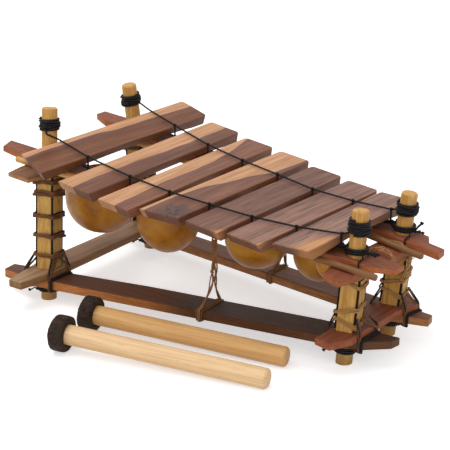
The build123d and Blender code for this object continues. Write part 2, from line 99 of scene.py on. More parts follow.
def grid(points: Array, run: Array, closed_along: bool = False) -> Patch:
    """Joins a grid of points into a skin that is closed round its columns.

    Face (r, c) has the corners (r, c), (r, c + 1), (r + 1, c + 1), (r + 1, c), with the
    column after the last being the first. Open ends are closed by a fan round their middle.

    Args:
        points: rows by columns by 3, in millimetres.
        run: the distance along the piece at each row.
        closed_along: whether the last row joins the first.

    Returns:
        The patch.
    """
    rows, columns = points.shape[:2]
    spans = rows if closed_along else rows - 1
    row, column = np.broadcast_arrays(np.arange(spans)[:, None], np.arange(columns)[None, :])
    above, beside = (row + 1) % rows, (column + 1) % columns
    quads = np.stack(
        [row * columns + column, row * columns + beside, above * columns + beside,
         above * columns + column], axis=-1,
    ).reshape(-1, 4)
    further = np.append(run, 2 * run[-1] - run[-2])
    u = np.stack([further[row], further[row], further[row + 1], further[row + 1]], axis=-1)
    v = np.stack([column, column + 1, column + 1, column], axis=-1) / columns
    quad_uv = np.stack([u, v], axis=-1).reshape(-1, 4, 2)
    flat = points.reshape(-1, 3)
    if closed_along:
        return Patch(flat, quads, quad_uv, np.zeros((0, 3), int), np.zeros((0, 3, 2)))
    around = np.arange(columns)
    onward = (around + 1) % columns
    last = (rows - 1) * columns
    middle = np.full(columns, rows * columns)
    fans = np.vstack([
        np.stack([middle, onward, around], axis=-1),
        np.stack([middle + 1, last + around, last + onward], axis=-1),
    ])
    flat = np.vstack([flat, points[0].mean(axis=0), points[-1].mean(axis=0)])
    side = np.stack([around, around, around + 1], axis=-1) / columns
    ends = np.repeat([run[0], run[-1]], columns)[:, None] * np.ones(3)
    fan_uv = np.stack([ends, np.vstack([side, side])], axis=-1)
    return Patch(flat, quads, quad_uv, fans, fan_uv)


def frames(path: Array, reference: Array, closed: bool = False) -> tuple[Array, Array, Array]:
    """Tangent, normal and binormal at each point of a path.

    The normal is the reference direction less its share along the tangent, and the
    binormal is the tangent crossed with the normal.
    """
    ahead = np.roll(path, -1, axis=0) - np.roll(path, 1, axis=0) if closed else None
    tangent = unit(ahead if closed else np.gradient(path, axis=0))
    reference = np.broadcast_to(np.asarray(reference, float), path.shape)
    normal = unit(reference - (reference * tangent).sum(axis=1, keepdims=True) * tangent)
    return tangent, normal, np.cross(tangent, normal)


def swept(path: Array, high: Array, wide: Array, reference: Array = UP, closed: bool = False,
          width_scale: Array | float = 1.0) -> Patch:
    """Carries a closed profile along a path.

    Point (i, j) is path i plus the normal times high j and the binormal times wide j, both
    times the scale at i.

    Args:
        path: the points that it follows.
        high: the profile along the normal.
        wide: the profile along the binormal.
        reference: the direction that the normal leans to.
        closed: whether the path is a loop.
        width_scale: the profile's size at each point of the path.

    Returns:
        The skin.
    """
    _, normal, binormal = frames(path, reference, closed)
    scale = np.broadcast_to(width_scale, len(path))[:, None, None]
    ring = high[None, :, None] * normal[:, None] + wide[None, :, None] * binormal[:, None]
    return grid(path[:, None] + scale * ring, lengths(path), closed_along=closed)


def tube(path: Array, radius: Array | float, reference: Array = UP, sides: int = 8,
         closed: bool = False) -> Patch:
    """A round cord along a path: a circle of the given radius swept along it."""
    angle = np.linspace(0, 2 * math.pi, sides, endpoint=False)
    return swept(path, np.cos(angle), np.sin(angle), reference, closed, radius)


def even(path: Array, step: float) -> Array:
    """The same path with points a step apart."""
    walked = lengths(path)
    target = np.linspace(0, walked[-1], max(4, int(walked[-1] / step) + 1))
    return np.stack([np.interp(target, walked, path[:, i]) for i in range(3)], axis=1)


def rounded(points: Array, near: float, step: float = 0.8) -> Array:
    """A route with its corners rounded close to them.

    A point is added on each run at the distance near from each corner, at most a third of
    the run, and every run is then cut at a quarter and three quarters of it four times.

    Args:
        points: the route's corners.
        near: how far from a corner its rounding starts.
        step: how far apart the points are at the end.

    Returns:
        The path.
    """
    spots = np.asarray(points, float)
    runs = np.diff(spots, axis=0)
    reach = np.linalg.norm(runs, axis=1, keepdims=True)
    share = np.minimum(near / reach, 1 / 3)
    after, before = spots[:-1] + share * runs, spots[1:] - share * runs
    corners = np.stack([before[:-1], spots[1:-1], after[1:]], axis=1).reshape(-1, 3)
    path = np.vstack([spots[:1], corners, spots[-1:]])
    for _ in range(4):
        cut = np.stack([0.75 * path[:-1] + 0.25 * path[1:], 0.25 * path[:-1] + 0.75 * path[1:]], axis=1)
        path = np.vstack([path[:1], cut.reshape(-1, 3), path[-1:]])
    return even(path, step)


def twisted(path: Array, radius: float, pitch: float, strands: int = 2,
            reference: Array = UP, sides: int = 6) -> list[Patch]:
    """A laid cord: strands that turn about a path, each once in a pitch.

    A strand's centre is the path plus half the cord's radius along the normal turned by
    the distance walked over the pitch.
    """
    _, normal, binormal = frames(path, reference)
    walked = lengths(path)
    patches = []
    for strand in range(strands):
        angle = (2 * math.pi * (walked / pitch + strand / strands))[:, None]
        centre = path + 0.5 * radius * (np.cos(angle) * normal + np.sin(angle) * binormal)
        patches.append(tube(centre, 0.58 * radius, reference, sides))
    return patches


def knot(centre: Array, size: float, cord: float, lean: float = 0.0) -> Patch:
    """A pulled knot: a trefoil loop of cord.

    x is sin t + 2 sin 2t, z is cos t - 2 cos 2t and y is sin 3t, scaled to the size and
    leaned about the x axis.
    """
    t = np.linspace(0, 2 * math.pi, 60, endpoint=False)
    x, y, z = np.sin(t) + 2 * np.sin(2 * t), 1.2 * np.sin(3 * t), np.cos(t) - 2 * np.cos(2 * t)
    leaned = np.stack(
        [x, y * math.cos(lean) - z * math.sin(lean), y * math.sin(lean) + z * math.cos(lean)], axis=1
    )
    reference = (0, math.cos(lean), math.sin(lean))
    return tube(np.asarray(centre) + leaned * size / 3, cord, reference, 8, closed=True)


def ripple(t: Array, seed: int, waves: int = 5) -> Array:
    """A smooth uneven curve between about -1 and 1: a sum of sines with seeded phases."""
    rng = np.random.default_rng(seed)
    speed = rng.uniform(0.6, 3.2, waves)[:, None]
    phase = rng.uniform(0, 2 * math.pi, waves)[:, None]
    return np.sin(speed * np.asarray(t)[None, :] + phase).sum(axis=0) / math.sqrt(waves * 1.6)


def build(name: str, patches: list[Patch], finish: bpy.types.Material, body: str,
          replaced: tuple[str, ...] = ()) -> bpy.types.Object:
    """Makes one object of its patches, in place, and gives it its body and finish.

    Args:
        name: the piece's name.
        patches: its surfaces, in stand millimetres.
        finish: its material.
        body: the CAD body that it rides on.
        replaced: the CAD nodes that it stands for.

    Returns:
        The new object.
    """
    offsets = np.cumsum([0] + [len(p.points) for p in patches[:-1]])
    points = placed(np.vstack([p.points for p in patches]))
    quads = np.vstack([p.quads + o for p, o in zip(patches, offsets)])
    fans = np.vstack([p.fans + o for p, o in zip(patches, offsets)])
    corners = np.concatenate([quads.ravel(), fans.ravel()]).astype(np.int32)
    uv = np.concatenate(
        [np.vstack([p.quad_uv for p in patches]).ravel(), np.vstack([p.fan_uv for p in patches]).ravel()]
    )
    starts = np.concatenate([4 * np.arange(len(quads)), 4 * len(quads) + 3 * np.arange(len(fans))])
    mesh = bpy.data.meshes.new(name)
    mesh.vertices.add(len(points))
    mesh.vertices.foreach_set("co", points.ravel().astype(np.float32))
    mesh.loops.add(len(corners))
    mesh.loops.foreach_set("vertex_index", corners)
    mesh.polygons.add(len(starts))
    mesh.polygons.foreach_set("loop_start", starts.astype(np.int32))
    mesh.polygons.foreach_set("use_smooth", np.ones(len(starts), bool))
    layer = mesh.uv_layers.new(name="run")
    layer.data.foreach_set("uv", uv.astype(np.float32))
    mesh.update(calc_edges=True)
    mesh.validate()
    mesh.materials.append(finish)
    piece = bpy.data.objects.new(name, mesh)
    bpy.context.scene.collection.objects.link(piece)
    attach(piece, body)
    if replaced:
        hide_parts(*replaced)
    LOG.info("%s: %d faces on %s", name, len(starts), body)
    return piece


def dress(node: str, finish: bpy.types.Material) -> None:
    """Gives a CAD node a finish in place of its plain one."""
    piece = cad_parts[node]
    if not piece.material_slots:
        piece.data.materials.append(finish)
    for place in piece.material_slots:
        place.material = finish
    LOG.info("%s: dressed in %s", node, finish.name)


# ---------------------------------------------------------------- finishes


def paint(red: int, green: int, blue: int) -> Colour:
    """A colour as seen on a screen, 0 to 255, as the light that a material takes."""
    share = np.array([red, green, blue]) / 255
    light = np.where(share <= 0.04045, share / 12.92, ((share + 0.055) / 1.055) ** 2.4)
    return (*(float(x) for x in light), 1.0)


class Grain(Enum):
    """Which way the fibres of a piece of wood or cane run."""

    ALONG_X = (1.0, 30.0, 30.0)
    ALONG_Y = (30.0, 1.0, 30.0)
    UPRIGHT = (30.0, 30.0, 1.0)


Socket = bpy.types.NodeSocket


class Shade:
    """The nodes of one material, added and joined by short calls."""

    def __init__(self, name: str) -> None:
        """Starts an empty material with a coordinate node."""
        self.material = bpy.data.materials.new(name)
        self.material.use_nodes = True
        self.nodes = self.material.node_tree.nodes
        self.links = self.material.node_tree.links
        self.nodes.clear()
        self.place = self.node("ShaderNodeTexCoord")

    def node(self, kind: str, inputs: dict | None = None, **settings: object) -> bpy.types.Node:
        """Adds a node, sets it, and links or fills its inputs."""
        made = self.nodes.new(kind)
        for name, value in settings.items():
            setattr(made, name, value)
        for name, value in (inputs or {}).items():
            if isinstance(value, bpy.types.NodeSocket):
                self.links.new(value, made.inputs[name])
            else:
                made.inputs[name].default_value = value
        return made

    def mapped(self, scale: tuple, vector: Socket | None = None, location: tuple = (0, 0, 0),
               rotation: tuple = (0, 0, 0), inverse: bool = False) -> Socket:
        """Object coordinates, or others, moved, turned and scaled."""
        source = self.place.outputs["Object"] if vector is None else vector
        inputs = {"Vector": source, "Location": location, "Rotation": rotation, "Scale": scale}
        made = self.node("ShaderNodeMapping", inputs, vector_type="TEXTURE" if inverse else "POINT")
        return made.outputs["Vector"]

    def noise(self, vector: Socket, scale: float, detail: float = 3.0, rough: float = 0.55,
              warp: float = 0.0) -> Socket:
        """Soft noise of 0 to 1."""
        inputs = {"Vector": vector, "Scale": scale, "Detail": detail, "Roughness": rough, "Distortion": warp}
        return self.node("ShaderNodeTexNoise", inputs).outputs["Fac"]

    def ramp(self, amount: Socket, *stops: tuple[float, Colour]) -> Socket:
        """A colour read from stops by an amount."""
        made = self.node("ShaderNodeValToRGB", {"Fac": amount})
        band = made.color_ramp
        while len(band.elements) < len(stops):
            band.elements.new(0.5)
        for element, (spot, colour) in zip(band.elements, stops):
            element.position, element.color = spot, colour
        return made.outputs["Color"]

    def level(self, amount: Socket, low: float, high: float, to_low: float = 0.0,
              to_high: float = 1.0) -> Socket:
        """An amount between low and high as one between two others, eased at both ends."""
        inputs = {"Value": amount, "From Min": low, "From Max": high, "To Min": to_low, "To Max": to_high}
        made = self.node("ShaderNodeMapRange", inputs, interpolation_type="SMOOTHSTEP")
        return made.outputs["Result"]

    def sum(self, how: str, first: Socket | float, second: Socket | float = 0.0) -> Socket:
        """A sum, product or other arithmetic on two amounts."""
        made = self.node("ShaderNodeMath", {0: first, 1: second}, operation=how)
        return made.outputs[0]

    def mix(self, amount: Socket | float, first: Socket | Colour, second: Socket | Colour,
            how: str = "MIX") -> Socket:
        """Two colours mixed."""
        made = self.node("ShaderNodeMix", {0: amount, 6: first, 7: second}, data_type="RGBA", blend_type=how)
        return made.outputs[2]

    def grain(self, way: Grain, long: float, fine: float, vector: Socket | None = None,
              shift: float = 0.0) -> tuple[Socket, Socket]:
        """Broad streaks and fine fibres of wood along one direction.

        Args:
            way: the direction of the fibres.
            long: cells in a metre along them for the streaks.
            fine: cells in a metre along them for the fibres.
            vector: the coordinates, or object coordinates.
            shift: a distance that sets one piece's grain apart from another's.

        Returns:
            The streaks and the fibres, each 0 to 1.
        """
        move = (shift, shift * 0.7, shift * 1.3)
        broad = self.mapped(tuple(s * long for s in way.value), vector, move)
        close = self.mapped(tuple(s * fine for s in way.value), vector, move)
        return self.noise(broad, 1.0, 3.0, 0.6, 0.6), self.noise(close, 1.0, 4.0, 0.65)

    def surface(self, colour: Socket | Colour, roughness: float, height: Socket | None = None,
                depth: float = 0.0003, strength: float = 0.6, **constants: float) -> bpy.types.Material:
        """Ends the material with its shader, with bumps of a depth in metres."""
        shader = self.node(
            "ShaderNodeBsdfPrincipled",
            {"Base Color": colour, "Roughness": roughness, "Specular IOR Level": 0.22},
        )
        for name, value in constants.items():
            shader.inputs[name.replace("_", " ")].default_value = value
        if height is not None:
            bump = self.node("ShaderNodeBump", {"Height": height, "Distance": depth, "Strength": strength})
            self.links.new(bump.outputs["Normal"], shader.inputs["Normal"])
        self.node("ShaderNodeOutputMaterial", {"Surface": shader.outputs["BSDF"]})
        return self.material


@dataclass(frozen=True)
class CaneFinish:
    """Yellow split cane: pale and dark fibres, specks, and a greyer, darker foot."""

    name: str
    way: Grain
    light: Colour = paint(226, 178, 104)
    dark: Colour = paint(188, 132, 62)
    foot: Colour = paint(140, 112, 70)
    foot_top: float = 0.0
    shift: float = 0.0
    turn_x: tuple[float, float] = (0.0, 0.0)
    beyond: Colour = paint(128, 84, 54)

    def make(self) -> bpy.types.Material:
        """The material; past turn_x, in metres, it goes over to the tone beyond."""
        shade = Shade(self.name)
        streaks, fibres = shade.grain(self.way, 8, 30, shift=self.shift)
        colour = shade.ramp(streaks, (0.3, self.dark), (0.7, self.light))
        strands = shade.ramp(fibres, (0.25, paint(205, 196, 180)), (0.6, paint(255, 255, 255)))
        colour = shade.mix(0.8, colour, strands, "MULTIPLY")
        blotch = shade.noise(shade.mapped((60, 60, 60)), 1.0, 2.0)
        stain = shade.level(blotch, 0.58, 0.75, 0.0, 0.45)
        colour = shade.mix(stain, colour, self.foot)
        if self.foot_top > 0:
            # darker and greyer towards the bottom, below foot_top
            height = shade.node("ShaderNodeSeparateXYZ", {0: shade.place.outputs["Object"]}).outputs["Z"]
            low_darkening = shade.level(height, 0.0, self.foot_top, 0.75, 0.0)
            colour = shade.mix(low_darkening, colour, shade.ramp(blotch, (0.35, self.foot), (0.7, self.dark)))
        if self.turn_x[1] > self.turn_x[0]:
            across = shade.node("ShaderNodeSeparateXYZ", {0: shade.place.outputs["Object"]}).outputs["X"]
            past = shade.level(across, *self.turn_x, 0.0, 0.9)
            colour = shade.mix(past, colour, shade.mix(streaks, self.beyond, paint(92, 56, 34)))
        return shade.surface(colour, 0.5, fibres, 0.0004, 0.7, Coat_Weight=0.05)


@dataclass(frozen=True)
class BoardFinish:
    """A hand-cut board: its flat face and its sawn edges have different tones."""

    name: str
    way: Grain
    face: Colour
    face_dark: Colour
    edge: Colour
    edge_dark: Colour
    shift: float = 0.0
    turn_x: tuple[float, float] = (0.0, 0.0)
    beyond: Colour = paint(70, 45, 38)

    def make(self) -> bpy.types.Material:
        """The material: the edge tone shows where the surface faces sideways, and past
        turn_x, in metres, both go over to the tone beyond."""
        shade = Shade(self.name)
        streaks, fibres = shade.grain(self.way, 6, 22, shift=self.shift)
        flat = shade.ramp(streaks, (0.28, self.face_dark), (0.72, self.face))
        sawn = shade.ramp(streaks, (0.28, self.edge_dark), (0.72, self.edge))
        facing = shade.node("ShaderNodeSeparateXYZ", {0: shade.place.outputs["Normal"]}).outputs["Z"]
        colour = shade.mix(shade.level(facing, 0.25, 0.8), sawn, flat)
        if self.turn_x[1] > self.turn_x[0]:
            across = shade.node("ShaderNodeSeparateXYZ", {0: shade.place.outputs["Object"]}).outputs["X"]
            wander = shade.sum("MULTIPLY_ADD", streaks, 0.06)
            wander.node.inputs[2].default_value = 0.0
            past = shade.level(shade.sum("ADD", across, wander), *self.turn_x, 0.0, 0.85)
            colour = shade.mix(past, colour, self.beyond)
        strands = shade.ramp(fibres, (0.22, paint(176, 168, 160)), (0.55, paint(255, 255, 255)))
        colour = shade.mix(0.75, colour, strands, "MULTIPLY")
        return shade.surface(colour, 0.55, fibres, 0.0005, 0.8)


@dataclass(frozen=True)
class KeyFinish:
    """A key's two-tone wood: pale sapwood at the left of a wavy line, brown heartwood at
    the right of it, with a darker seam beside the line, a knot, a light orange patch of
    painted highlight, and painted shade on the faces that do not face up."""

    name: str
    origin: tuple[float, float, float]
    turn: tuple[float, float, float]
    length: float
    width: float
    line: tuple[tuple[float, float], ...]
    heart: Colour
    heart_dark: Colour
    sap: Colour = paint(214, 164, 122)
    sap_dark: Colour = paint(190, 136, 94)
    seam: Colour = paint(112, 76, 70)
    knot_at: tuple[float, float, float] | None = None
    painted_highlight_at: tuple[float, float, float] | None = None
    shift: float = 0.0
    lined: float = 0.25

    def near(self, shade: Shade, local: Socket, spot: tuple[float, float, float], warp: Socket) -> Socket:
        """How near a point of the key is to a spot (across, along, reach), 0 to 1."""
        off = shade.node("ShaderNodeVectorMath", {0: local, 1: (spot[0], spot[1], 0.0)}, operation="SUBTRACT")
        squeezed = shade.mapped((1.0, 0.55, 0.6), off.outputs["Vector"])
        far = shade.node("ShaderNodeVectorMath", {0: squeezed}, operation="LENGTH").outputs["Value"]
        uneven = shade.sum("MULTIPLY", shade.sum("SUBTRACT", warp, 0.5), 0.9 * spot[2])
        return shade.level(shade.sum("ADD", far, uneven), 0.35 * spot[2], spot[2], 1.0, 0.0)

    def make(self) -> bpy.types.Material:
        """The material, worked out in the key's own directions."""
        shade = Shade(self.name)
        local = shade.mapped((1, 1, 1), None, self.origin, self.turn, inverse=True)
        parts = shade.node("ShaderNodeSeparateXYZ", {0: local}).outputs
        streaks, fibres = shade.grain(Grain.ALONG_Y, 5, 16, local, self.shift)
        share = shade.sum("ADD", shade.sum("MULTIPLY", parts["Y"], 1 / self.length), 0.5)
        curve = shade.node("ShaderNodeFloatCurve", {"Value": share})
        points = curve.mapping.curves[0].points
        while len(points) < len(self.line):
            points.new(0.5, 0.5)
        for point, (along, across) in zip(points, self.line):
            point.location = (along, across)
        curve.mapping.update()
        middle = shade.sum("MULTIPLY", shade.sum("SUBTRACT", curve.outputs[0], 0.5), self.width)
        wave = shade.noise(shade.mapped((26, 9, 26), local, (self.shift, 0, 0)), 1.0, 2.0)
        bend = shade.sum("MULTIPLY", shade.sum("SUBTRACT", wave, 0.5), 0.012)
        past = shade.sum("SUBTRACT", shade.sum("ADD", parts["X"], bend), middle)
        wood = shade.level(past, -0.0006, 0.0009)
        heart = shade.ramp(streaks, (0.3, self.heart_dark), (0.68, self.heart))
        beside = shade.level(past, 0.0, 0.009, 0.75, 0.0)
        heart = shade.mix(beside, heart, self.seam)
        thin = shade.noise(shade.mapped((230, 20, 230), local, (self.shift, 0, 0)), 1.0, 3.0, 0.65, 0.5)
        heart = shade.mix(shade.level(thin, 0.5, 0.72, 0.0, self.lined), heart, paint(62, 36, 28))
        facing = shade.node("ShaderNodeSeparateXYZ", {0: shade.place.outputs["Normal"]}).outputs["Z"]
        # painted shade: heartwood faces that face down, the undercut front ends and the underside, are darkened towards
        # a deep brown
        heart = shade.mix(shade.level(facing, -0.4, -0.12, 0.8, 0.0), heart, paint(52, 28, 14))
        sap = shade.ramp(streaks, (0.3, self.sap_dark), (0.7, self.sap))
        colour = shade.mix(wood, sap, heart)
        if self.knot_at:
            dark = self.near(shade, local, self.knot_at, streaks)
            rings = shade.noise(shade.mapped((220, 120, 220), local), 1.0, 3.0, 0.6, 2.0)
            bark = shade.ramp(rings, (0.35, paint(48, 30, 32)), (0.65, paint(112, 78, 66)))
            colour = shade.mix(dark, colour, bark)
        # painted highlight: a light orange patch near the front of the key's right side
        if self.painted_highlight_at:
            highlight = self.near(shade, local, self.painted_highlight_at, streaks)
            colour = shade.mix(shade.sum("MULTIPLY", highlight, 0.8), colour, paint(214, 154, 98))
        # painted shade: faces that do not face up (sides, ends and underside) are mixed towards a darker orange-brown
        # than the top
        painted_side_shade = shade.level(facing, 0.45, 0.9, 0.42, 0.0)
        colour = shade.mix(painted_side_shade, colour, paint(128, 78, 48))
        strands = shade.ramp(fibres, (0.3, paint(186, 176, 170)), (0.58, paint(255, 255, 255)))
        colour = shade.mix(0.7, colour, strands, "MULTIPLY")
        return shade.surface(colour, 0.5, fibres, 0.0004, 0.7, Coat_Weight=0.06, Coat_Roughness=0.35)


@dataclass(frozen=True)
class GourdFinish:
    """Varnished gourd shell: golden and brown clouds, small scars, a clear coat."""

    name: str = "gourd_shell"

    def make(self) -> bpy.types.Material:
        """The material."""
        shade = Shade(self.name)
        at = shade.mapped((1, 1, 1))
        clouds = shade.noise(at, 28, 4.0, 0.55, 0.4)
        colour = shade.ramp(
            clouds, (0.3, paint(142, 84, 20)), (0.5, paint(184, 120, 34)), (0.72, paint(208, 152, 60))
        )
        scars = shade.noise(at, 190, 2.0, 0.5)
        colour = shade.mix(shade.level(scars, 0.68, 0.76, 0.0, 0.55), colour, paint(118, 66, 22))
        fine = shade.noise(at, 420, 3.0)
        return shade.surface(colour, 0.4, fine, 0.0002, 0.35, Coat_Weight=0.06, Coat_Roughness=0.2)


@dataclass(frozen=True)
class CordFinish:
    """Waxed black cord: fibres laid at a slant across the strand."""

    name: str
    light: Colour
    dark: Colour
    lay: float = 1.1
    rough: float = 0.6

    def make(self) -> bpy.types.Material:
        """The material: bands run with the distance along the strand plus its round."""
        shade = Shade(self.name)
        at = shade.mapped((self.lay, 6.0, 1.0), shade.place.outputs["UV"], rotation=(0, 0, 0.5))
        fuzz = shade.noise(at, 1.6, 3.0, 0.6)
        colour = shade.ramp(fuzz, (0.35, self.dark), (0.75, self.light))
        return shade.surface(colour, self.rough, fuzz, 0.0003, 0.8)


@dataclass(frozen=True)
class BarkFinish:
    """A strip of bark or raffia: long fibres along the strip."""

    name: str
    light: Colour
    middle: Colour
    dark: Colour

    def make(self) -> bpy.types.Material:
        """The material: fibres are long with the strip and narrow across it."""
        shade = Shade(self.name)
        at = shade.mapped((0.06, 14.0, 1.0), shade.place.outputs["UV"])
        fibres = shade.noise(at, 1.0, 4.0, 0.6, 0.3)
        colour = shade.ramp(fibres, (0.3, self.dark), (0.5, self.middle), (0.7, self.light))
        return shade.surface(colour, 0.62, fibres, 0.0005, 0.9)


@dataclass(frozen=True)
class StickFinish:
    """Peeled pale stick: soft streaks along it and small brown specks."""

    name: str
    start: tuple[float, float, float]
    turn: tuple[float, float, float]
    light: Colour
    dark: Colour

    def make(self) -> bpy.types.Material:
        """The material, in the stick's own directions with z along it."""
        shade = Shade(self.name)
        local = shade.mapped((1, 1, 1), None, self.start, self.turn, inverse=True)
        streaks, fibres = shade.grain(Grain.UPRIGHT, 5, 18, local)
        colour = shade.ramp(streaks, (0.28, self.dark), (0.7, self.light))
        strands = shade.ramp(fibres, (0.28, paint(224, 212, 196)), (0.55, paint(255, 255, 255)))
        colour = shade.mix(0.8, colour, strands, "MULTIPLY")
        specks = shade.noise(shade.mapped((240, 240, 60), local), 1.0, 2.0)
        colour = shade.mix(shade.level(specks, 0.7, 0.78, 0.0, 0.35), colour, paint(176, 122, 66))
        return shade.surface(colour, 0.48, fibres, 0.0003, 0.6, Coat_Weight=0.06)


@dataclass(frozen=True)
class RubberFinish:
    """Old dark rubber with torn, dusty ridges."""

    name: str = "mallet_rubber"

    def make(self) -> bpy.types.Material:
        """The material."""
        shade = Shade(self.name)
        coarse = shade.noise(shade.mapped((1, 1, 1)), 150, 5.0, 0.65, 0.6)
        dust = shade.noise(shade.mapped((1, 1, 1)), 420, 3.0, 0.6)
        colour = shade.ramp(coarse, (0.35, paint(26, 18, 13)), (0.6, paint(54, 38, 26)), (0.78, paint(96, 68, 44)))
        colour = shade.mix(shade.level(dust, 0.6, 0.75, 0.0, 0.35), colour, paint(116, 86, 58))
        return shade.surface(colour, 0.78, coarse, 0.0016, 0.9)


# ---------------------------------------------------------------- the stand's lines

# Heights over the left posts and the right posts at x LEFT_X and RIGHT_X
LEFT_X, RIGHT_X = -189.0, 199.5
RAIL_UNDER = (16.5, 21.0)
RAIL_TOP = (27.5, 30.6)
CROSS_TOP = (37.0, 38.6)
TOP_CROSS_UNDER = (151.4, 102.8)
DECK_LEVEL = (156.6, 112.3)


def height_at(heights: tuple[float, float], x: Array | float) -> Array | float:
    """Height of a sloped plane of the stand at x."""
    return heights[0] + (x - LEFT_X) / (RIGHT_X - LEFT_X) * (heights[1] - heights[0])


@dataclass(frozen=True)
class PostLine:
    """A post's axis: its foot, its top, and the radius of the post."""

    name: str
    foot: tuple[float, float, float]
    top: tuple[float, float, float]
    left: bool
    radius: float = 9.0
    leg_turn: float = math.radians(9.8)

    @property
    def along(self) -> Array:
        """Direction of the axis."""
        return unit(np.array(self.top) - np.array(self.foot))

    def at(self, z: float) -> Array:
        """Point of the axis at a height."""
        return np.array(self.foot) + z / self.top[2] * (np.array(self.top) - np.array(self.foot))

    def local(self, points: Array, z: float, turn: float = 0.0) -> Array:
        """Points about the axis at a height, turned about it, in stand millimetres."""
        across = np.array([math.cos(turn), math.sin(turn), 0.0])
        x = unit(across - across @ self.along * self.along)
        y = np.cross(self.along, x)
        points = np.asarray(points, float)
        return self.at(z) + points[:, :1] * x + points[:, 1:2] * y + points[:, 2:] * self.along


POSTS = {
    p.name: p
    for p in (
        PostLine("front_left", (-175.5, -102.3, 0), (-190.4, -75.0, 221.1), True),
        PostLine("back_left", (-184.0, 103.0, 0), (-195.4, 74.0, 217.9), True),
        PostLine("front_right", (191.9, -46.6, 0), (198.4, -36.0, 169.0), False),
        PostLine("back_right", (192.1, 46.4, 0), (206.9, 53.0, 165.9), False),
    )
}


def crossing(outline: tuple, axis: int, value: float) -> tuple[float, float]:
    """Where a straight line across a board's outline enters and leaves it.

    Each edge that passes the value gives the other coordinate at its share of the way.

    Args:
        outline: the board's corners seen from above.
        axis: 0 for a line of constant x, 1 for a line of constant y.
        value: that constant.

    Returns:
        The lowest and the highest of the other coordinate.
    """
    start = np.array(outline, float)
    end = np.roll(start, -1, axis=0)
    run = end[:, axis] - start[:, axis]
    safe = np.where(np.abs(run) < 1e-6, 1e9, run)
    share = (value - start[:, axis]) / safe
    inside = (np.abs(run) > 1e-6) & (share >= 0) & (share <= 1)
    other = start[:, 1 - axis] + share * (end[:, 1 - axis] - start[:, 1 - axis])
    return float(other[inside].min()), float(other[inside].max())


@dataclass(frozen=True)
class Crossing:
    """Where a rail and a cross rail meet at a post, seen from above."""

    post: PostLine
    rail: tuple
    cross: tuple

    def corner(self, right: bool, back: bool) -> Array:
        """The inner corner between the two boards' edges, on one side of the post."""
        x, y = self.post.at(30.0)[:2]
        for _ in range(3):
            x = crossing(self.cross, 1, y)[right]
            y = crossing(self.rail, 0, x)[back]
        return np.array([x, y])


FRONT_RAIL = (
    (-234, -97.6), (-232, -115.6), (-190, -119.0), (192, -58), (214, -52),
    (239, -30), (241, -17), (149.6, -23.7), (-59.3, -59),
)
BACK_RAIL = (
    (-222, 118), (-228, 94), (-184, 86), (192, 30), (243, 44), (241, 57), (190, 65), (-184, 117),
)
LEFT_CROSS = (
    (-187.5, -155), (-169.8, -155), (-162.5, -110), (-170, 130), (-199.5, 130), (-197.7, -100),
)
RIGHT_CROSS = (
    (178.5, -85.8), (199, -90.5), (211.5, -66), (214, 26), (223, 57), (197, 84), (180, 66),
)
CROSSINGS = {
    "front_left": Crossing(POSTS["front_left"], FRONT_RAIL, LEFT_CROSS),
    "back_left": Crossing(POSTS["back_left"], BACK_RAIL, LEFT_CROSS),
    "front_right": Crossing(POSTS["front_right"], FRONT_RAIL, RIGHT_CROSS),
    "back_right": Crossing(POSTS["back_right"], BACK_RAIL, RIGHT_CROSS),
}


# ---------------------------------------------------------------- sub-assemblies


